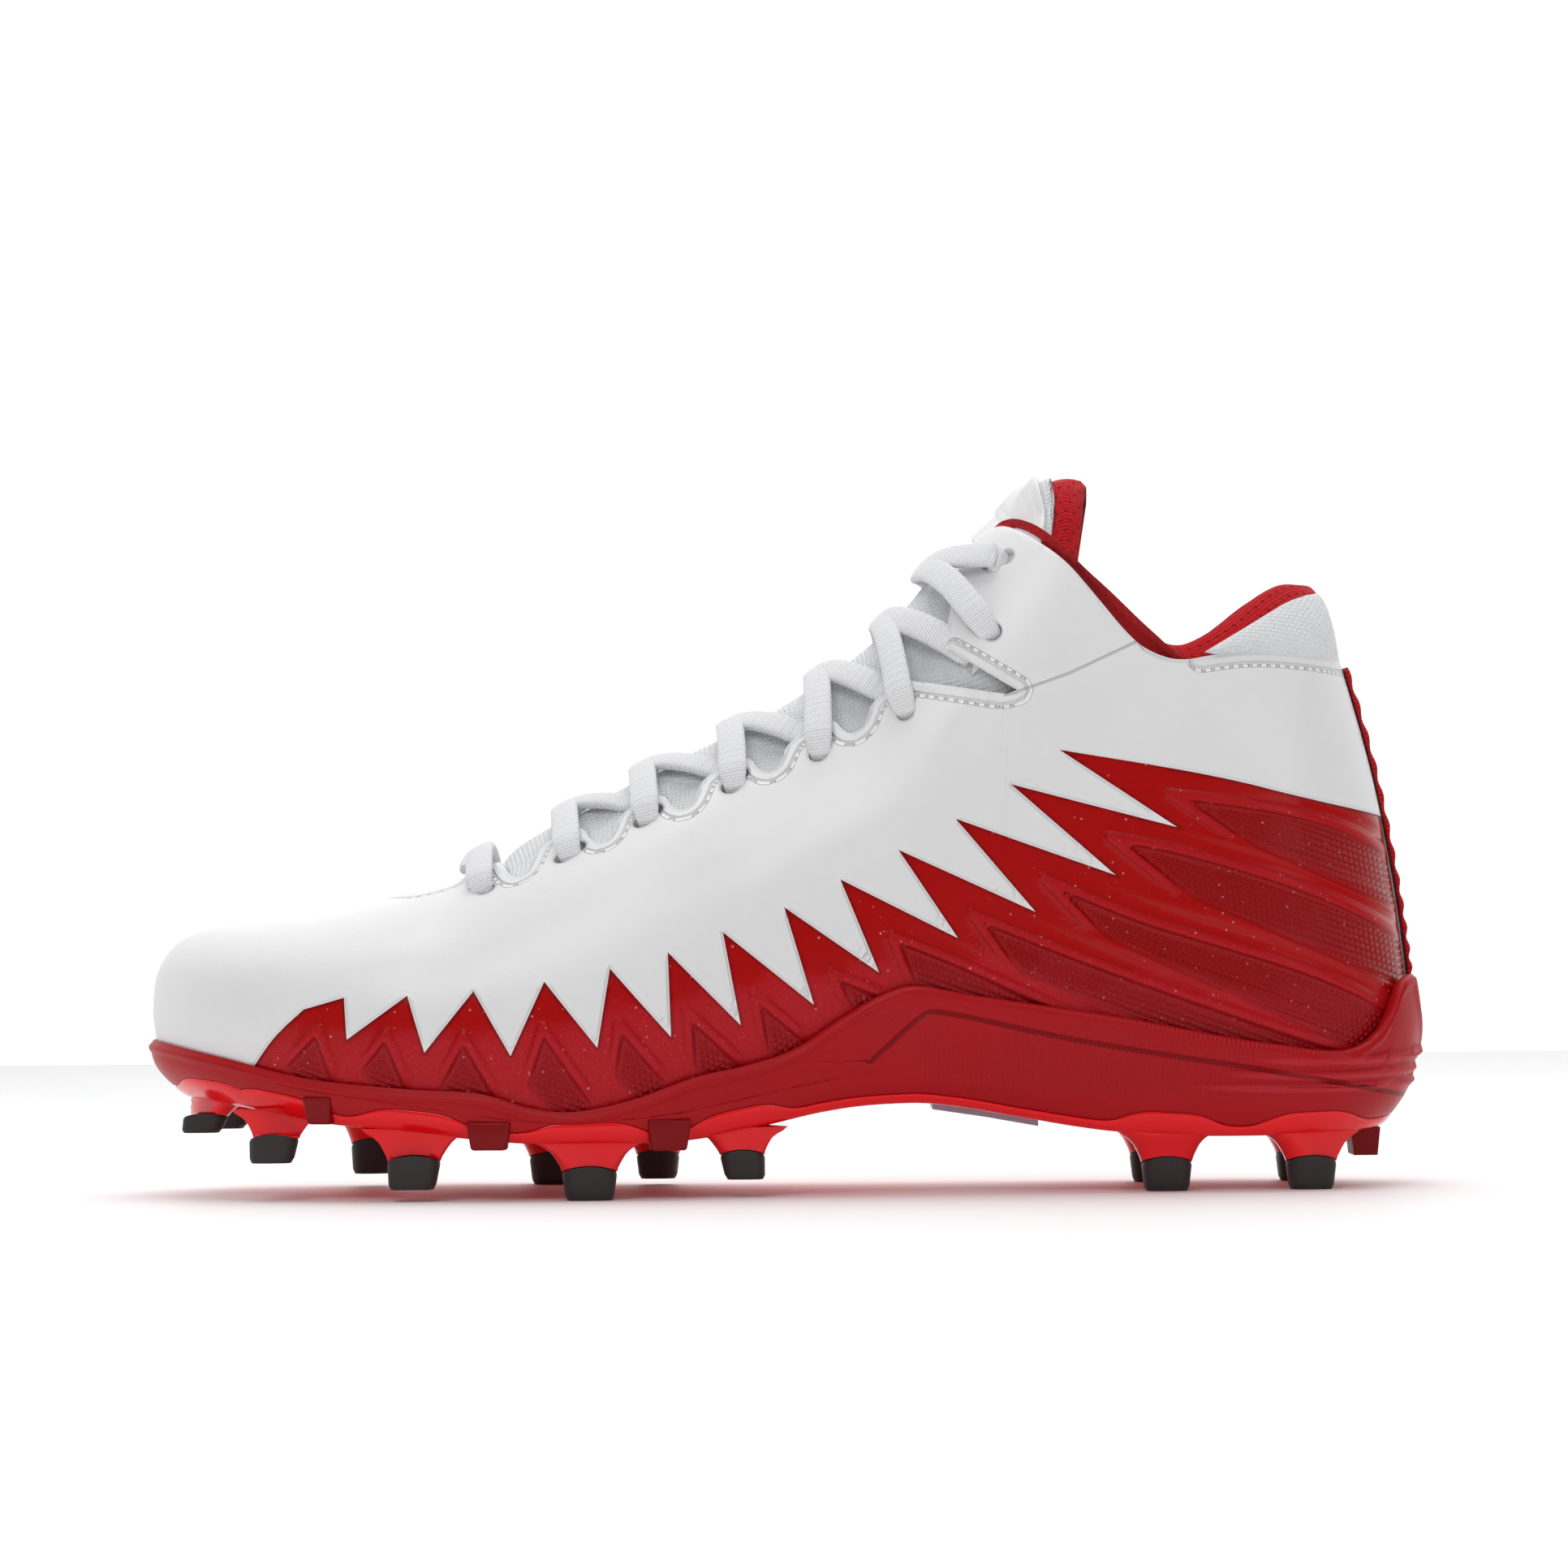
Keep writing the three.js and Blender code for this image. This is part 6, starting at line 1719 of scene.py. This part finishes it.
def plate_material():
    base = colour("plate")
    material, shader, sockets = new_material("gloss_plate", base, 0.16, Coat_Weight=0.2, Coat_Roughness=0.06)
    sockets["Specular IOR Level"].default_value = 0.25
    place = shader.position()
    fine = shader.group("Fine grain", {"Position": place, "Size": 0.9, "Depth": 0.006}).outputs
    ripple = shader.math("MULTIPLY", shader.noise(120.0, 2.0), 0.05)
    raise_surface(shader, sockets, shader.math("ADD", ripple, fine["Height"]))
    shader.feed(sockets["Base Color"], shader.mix(fine["Mottle"], shaded(base, 0.92), shaded(base, 1.08)))
    shader.feed(sockets["Roughness"], shader.span(fine["Mottle"], 0.3, 0.7, 0.14, 0.26))
    return material


def grained_material(name, setting, roughness, size, depth, tones, gloss, **more):
    """A plain surface with fine grain, mottled between two tones and two roughnesses."""
    base = colour(setting)
    material, shader, sockets = new_material(name, base, roughness, **more)
    grain = shader.group("Fine grain", {"Position": shader.position(), "Size": size, "Depth": depth}).outputs
    raise_surface(shader, sockets, grain["Height"])
    shader.feed(sockets["Base Color"], shader.mix(grain["Mottle"], *(shaded(base, tone) for tone in tones)))
    shader.feed(sockets["Roughness"], shader.span(grain["Mottle"], 0.3, 0.7, *gloss))
    return material


def tip_material():
    return grained_material("black_tip", "tip", 0.55, 0.5, 0.03, (0.7, 1.6), (0.46, 0.64))


def mesh_material(name):
    """White knitted mesh with open cells."""
    base = colour("mesh")
    material, shader, sockets = new_material(name, base, 0.85, Sheen_Weight=0.25)
    cloth = shader.cloth()
    weave = shader.group("Weave", {"Across": cloth[1], "Along": cloth[0], "Pitch": 1.25}).outputs
    yarn = shader.math("MULTIPLY", shader.wave(cloth[0], 0.42), 0.05)
    raise_surface(shader, sockets, shader.total(shader.math("MULTIPLY", weave["Height"], 0.36), yarn))
    # Painted shade darkens the gaps between the yarns
    shader.feed(sockets["Base Color"], shader.mix(weave["Gap shade"], base, shaded(base, 0.82)))
    shader.feed(sockets["Roughness"], shader.span(weave["Height"], 0.0, 1.0, 0.92, 0.78, False))
    return material


def knit_material():
    """Red spacer knit: slanted stitches, and rows of small open holes."""
    if "knit_lining" in bpy.data.materials:
        return bpy.data.materials["knit_lining"]
    base = colour("knit")
    material, shader, sockets = new_material("knit_lining", base, 0.85, Sheen_Weight=0.08)
    sockets["Specular IOR Level"].default_value = 0.2
    cloth = shader.cloth()
    slant = shader.total(cloth[0], shader.math("MULTIPLY", cloth[1], 0.5))
    stitches = shader.group("Weave", {"Across": slant, "Along": cloth[1], "Pitch": 0.95}).outputs
    cells = shader.group("Weave", {"Across": cloth[0], "Along": cloth[1], "Pitch": 2.6}).outputs
    hole = shader.span(cells["Height"], 0.62, 0.86)
    fuzz = shader.noise(1500.0, 2.0)
    height = shader.total(
        shader.math("MULTIPLY", stitches["Height"], 0.34), shader.math("MULTIPLY", hole, -0.5),
        shader.math("MULTIPLY", fuzz, 0.06),
    )
    raise_surface(shader, sockets, height)
    # Painted shade darkens the open holes and the gaps between the stitches
    crevice_shade = shader.math("MAXIMUM", shader.math("MULTIPLY", stitches["Gap shade"], 0.4), shader.math("MULTIPLY", hole, 0.6))
    shader.feed(sockets["Base Color"], shader.mix(crevice_shade, base, shaded(base, 0.3)))
    shader.feed(sockets["Roughness"], shader.span(fuzz, 0.3, 0.7, 0.75, 0.95))
    return material


def webbing_material():
    base = colour("knit")
    material, shader, sockets = new_material("heel_webbing", base, 0.7, Sheen_Weight=0.08)
    sockets["Specular IOR Level"].default_value = 0.2
    cloth = shader.cloth()
    rib = shader.wave(cloth[0], 1.1)
    yarn = shader.wave(cloth[1], 1.4)
    height = shader.total(shader.math("MULTIPLY", rib, 0.12), shader.math("MULTIPLY", yarn, 0.08))
    raise_surface(shader, sockets, height)
    # Painted shade darkens the troughs between the ribs
    crevice_shade = shader.span(rib, -1.0, 0.2, 0.5, 0.0)
    shader.feed(sockets["Base Color"], shader.mix(crevice_shade, shaded(base, 0.85), shaded(base, 0.2)))
    shader.feed(sockets["Roughness"], shader.span(yarn, -1.0, 1.0, 0.62, 0.8))
    return material


def plain_white_material():
    return grained_material("smooth_patch", "shell", 0.4, 0.7, 0.012, (0.96, 1.02), (0.36, 0.46),
                            Coat_Weight=0.1, Coat_Roughness=0.3)


def liner_material():
    base = colour("liner")
    material, shader, sockets = new_material("sock_liner", base, 0.9, Sheen_Weight=0.2)
    x, y, _ = shader.parts(shader.position())
    across, forward = shader.math("MULTIPLY", y, 1000.0), shader.math("MULTIPLY", x, 1000.0)
    weave = shader.group("Weave", {"Across": forward, "Along": across, "Pitch": 1.0}).outputs
    raise_surface(shader, sockets, shader.math("MULTIPLY", weave["Height"], 0.15))
    # Painted shade darkens the gaps between the yarns
    shader.feed(sockets["Base Color"], shader.mix(weave["Gap shade"], base, shaded(base, 0.6)))
    shader.feed(sockets["Roughness"], shader.span(weave["Height"], 0.0, 1.0, 0.95, 0.85))
    return material


def lace_material():
    """Flat woven lace: fine yarns and soft cross ribs."""
    base = colour("lace")
    material, shader, sockets = new_material("woven_lace", base, 0.75, Sheen_Weight=0.3)
    cloth = shader.cloth()
    weave = shader.group("Weave", {"Across": cloth[1], "Along": cloth[0], "Pitch": 0.75}).outputs
    rib = shader.wave(cloth[0], 2.1)
    height = shader.total(shader.math("MULTIPLY", weave["Height"], 0.14), shader.math("MULTIPLY", rib, 0.06))
    raise_surface(shader, sockets, height)
    # Painted shade darkens the gaps between the yarns
    shader.feed(sockets["Base Color"], shader.mix(weave["Gap shade"], base, shaded(base, 0.66)))
    shader.feed(sockets["Roughness"], shader.span(weave["Height"], 0.0, 1.0, 0.85, 0.66))
    return material


def patch_material():
    return grained_material("pale_arch", "arch", 0.35, 0.7, 0.01, (0.93, 1.07), (0.3, 0.42))


def dress_cad_nodes():
    """The rigid pieces whose solids have the true shape keep them and get their material."""
    for name, material in (("toe_lug", midsole_material()), ("heel_lug", midsole_material()),
                           ("arch_patch", patch_material())):
        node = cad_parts[name]
        node.data.materials.clear()
        node.data.materials.append(material)


# Stage

CAMERA_AWAY = 1.4
CAMERA_HEIGHT = 0.068
FRAME_WIDTH = 0.3751
FRAME_MIDDLE = 0.097
ROLL = -0.57
SENSOR = 36.0
# Soft boxes: place, size, power and what each is aimed at
LAMPS = {
    "key": ((-0.4, -1.1, 1.1), 0.8, 5.5, (0, 0, 0.08)),
    "fill": ((0.9, -1.2, 0.5), 0.6, 1.2, (0, 0, 0.07)),
    "top": ((0.05, 0.1, 1.4), 1.0, 8.5, (0, 0, 0.05)),
    "back": ((0.2, 1.3, 0.9), 1.2, 2, (0, 0, 0.05)),
}


def build_floor():
    bm = bmesh.new()
    bmesh.ops.create_grid(bm, x_segments=2, y_segments=2, size=1.2)
    floor = bpy.data.objects.new("floor", to_mesh(bm, "floor"))
    bpy.context.scene.collection.objects.link(floor)
    material, shader, sockets = new_material("pale_floor", (0.94, 0.94, 0.94, 1), 0.6)
    soft = shader.noise(3.0, 2.0)
    shader.feed(sockets["Base Color"], shader.mix(soft, (0.965, 0.965, 0.965, 1), (0.975, 0.975, 0.975, 1)))
    floor.data.materials.append(material)


def build_world():
    """White studio light, darker in front of the shoe than behind it."""
    world = bpy.data.worlds.new("studio")
    world.use_nodes = True
    shader = Shader(world.node_tree)
    backdrop = world.node_tree.nodes["Background"]
    facing = shader.parts(shader.add("ShaderNodeTexCoord").outputs["Generated"])
    behind = shader.span(facing[1], -0.3, 0.6)
    shader.feed(backdrop.inputs["Color"], shader.mix(behind, (0.3, 0.3, 0.305, 1), (1.03, 1.03, 1.03, 1)))
    backdrop.inputs["Strength"].default_value = 1.0
    bpy.context.scene.world = world


def build_stage():
    bpy.context.scene.view_settings.view_transform = "Standard"
    build_floor()
    build_world()
    for name, (place, size, power, aim) in LAMPS.items():
        lamp = bpy.data.lights.new(name, "AREA")
        lamp.energy = power
        lamp.size = size
        light = bpy.data.objects.new(name, lamp)
        bpy.context.scene.collection.objects.link(light)
        aimed = (Vector(place) - Vector(aim)).to_track_quat("Z", "Y")
        light.matrix_world = Matrix.Translation(place) @ aimed.to_matrix().to_4x4()
    data = bpy.data.cameras.new("camera")
    data.sensor_width = SENSOR
    data.lens = SENSOR * CAMERA_AWAY / FRAME_WIDTH
    data.shift_y = (FRAME_MIDDLE - CAMERA_HEIGHT) / FRAME_WIDTH
    camera = bpy.data.objects.new("camera", data)
    bpy.context.scene.collection.objects.link(camera)
    turn = Matrix.Rotation(math.radians(90), 4, "X") @ Matrix.Rotation(math.radians(ROLL), 4, "Z")
    camera.matrix_world = Matrix.Translation((0, -CAMERA_AWAY, CAMERA_HEIGHT)) @ turn
    bpy.context.scene.camera = camera


# Operators


def build_side_skins():
    build_skin(-1, "skin_outer", "side_skin_outer")
    build_skin(1, "skin_inner", "side_skin_inner")


class CLEAT_OT_upper(bpy.types.Operator):
    """Build the white shell with its creases, eyelets, rim and stitches"""

    bl_idname = "cleat.upper"
    bl_label = "Build the Upper"
    bl_options = {"REGISTER", "UNDO"}

    def execute(self, context):
        build_upper()
        return {"FINISHED"}


class CLEAT_OT_side_skins(bpy.types.Operator):
    """Build the moulded saw-tooth skins of both sides"""

    bl_idname = "cleat.side_skins"
    bl_label = "Build the Side Skins"
    bl_options = {"REGISTER", "UNDO"}

    def execute(self, context):
        build_side_skins()
        return {"FINISHED"}


class CLEAT_OT_midsole(bpy.types.Operator):
    """Build the cup of the sole with its ribs, groove and tabs"""

    bl_idname = "cleat.midsole"
    bl_label = "Build the Midsole"
    bl_options = {"REGISTER", "UNDO"}

    def execute(self, context):
        build_midsole()
        build_tabs()
        return {"FINISHED"}


class CLEAT_OT_plate(bpy.types.Operator):
    """Build the glossy plate with the stud bases"""

    bl_idname = "cleat.plate"
    bl_label = "Build the Studded Plate"
    bl_options = {"REGISTER", "UNDO"}

    def execute(self, context):
        build_plate()
        return {"FINISHED"}


class CLEAT_OT_stud_tips(bpy.types.Operator):
    """Build the black tips of the studs"""

    bl_idname = "cleat.stud_tips"
    bl_label = "Build the Stud Tips"
    bl_options = {"REGISTER", "UNDO"}

    def execute(self, context):
        build_tips()
        return {"FINISHED"}


class CLEAT_OT_tongue(bpy.types.Operator):
    """Build the mesh tongue with its knit back and smooth patch"""

    bl_idname = "cleat.tongue"
    bl_label = "Build the Tongue"
    bl_options = {"REGISTER", "UNDO"}

    def execute(self, context):
        build_tongue()
        return {"FINISHED"}


class CLEAT_OT_collar(bpy.types.Operator):
    """Build the padded knit lining and the mesh pad over the heel"""

    bl_idname = "cleat.collar"
    bl_label = "Build the Collar"
    bl_options = {"REGISTER", "UNDO"}

    def execute(self, context):
        build_lining()
        build_heel_pad()
        return {"FINISHED"}


class CLEAT_OT_webbing(bpy.types.Operator):
    """Build the webbing down the back of the heel"""

    bl_idname = "cleat.webbing"
    bl_label = "Build the Heel Webbing"
    bl_options = {"REGISTER", "UNDO"}

    def execute(self, context):
        build_tape()
        return {"FINISHED"}


class CLEAT_OT_insole(bpy.types.Operator):
    """Build the sock liner inside the shoe"""

    bl_idname = "cleat.insole"
    bl_label = "Build the Insole"
    bl_options = {"REGISTER", "UNDO"}

    def execute(self, context):
        build_insole()
        return {"FINISHED"}


class CLEAT_OT_lace(bpy.types.Operator):
    """Build the flat lace through the eyelets"""

    bl_idname = "cleat.lace"
    bl_label = "Build the Lace"
    bl_options = {"REGISTER", "UNDO"}

    def execute(self, context):
        build_lace()
        return {"FINISHED"}


class CLEAT_OT_fittings(bpy.types.Operator):
    """Give the lugs and the arch plate their materials"""

    bl_idname = "cleat.fittings"
    bl_label = "Finish the Small Fittings"
    bl_options = {"REGISTER", "UNDO"}

    def execute(self, context):
        dress_cad_nodes()
        return {"FINISHED"}


class CLEAT_OT_stage(bpy.types.Operator):
    """Build the floor, the lights and the camera"""

    bl_idname = "cleat.stage"
    bl_label = "Build the Stage"
    bl_options = {"REGISTER", "UNDO"}

    def execute(self, context):
        build_stage()
        return {"FINISHED"}


OPERATORS = (
    CLEAT_OT_upper,
    CLEAT_OT_side_skins,
    CLEAT_OT_midsole,
    CLEAT_OT_plate,
    CLEAT_OT_stud_tips,
    CLEAT_OT_tongue,
    CLEAT_OT_collar,
    CLEAT_OT_webbing,
    CLEAT_OT_insole,
    CLEAT_OT_lace,
    CLEAT_OT_fittings,
    CLEAT_OT_stage,
)


class CLEAT_PT_panel(bpy.types.Panel):
    """Settings and steps of the cleat"""

    bl_idname = "CLEAT_PT_panel"
    bl_label = "Football Cleat"
    bl_space_type = "VIEW_3D"
    bl_region_type = "UI"
    bl_category = "Cleat"

    def draw(self, context):
        for settings in (context.scene.cleat_sizes, context.scene.cleat_colours):
            box = self.layout.box()
            for name in settings.__annotations__:
                box.prop(settings, name)
        steps = self.layout.column(align=True)
        for operator in OPERATORS:
            steps.operator(operator.bl_idname)


CLASSES = (CleatSizes, CleatColours, *OPERATORS, CLEAT_PT_panel)


def register():
    for kind in CLASSES:
        bpy.utils.register_class(kind)
    bpy.types.Scene.cleat_sizes = bpy.props.PointerProperty(type=CleatSizes)
    bpy.types.Scene.cleat_colours = bpy.props.PointerProperty(type=CleatColours)


def unregister():
    del bpy.types.Scene.cleat_colours
    del bpy.types.Scene.cleat_sizes
    for kind in reversed(CLASSES):
        bpy.utils.unregister_class(kind)


def main():
    register()
    bpy.ops.cleat.upper()
    bpy.ops.cleat.side_skins()
    bpy.ops.cleat.midsole()
    bpy.ops.cleat.plate()
    bpy.ops.cleat.stud_tips()
    bpy.ops.cleat.tongue()
    bpy.ops.cleat.collar()
    bpy.ops.cleat.webbing()
    bpy.ops.cleat.insole()
    bpy.ops.cleat.lace()
    bpy.ops.cleat.fittings()
    bpy.ops.cleat.stage()


if __name__ == "__main__":
    main()
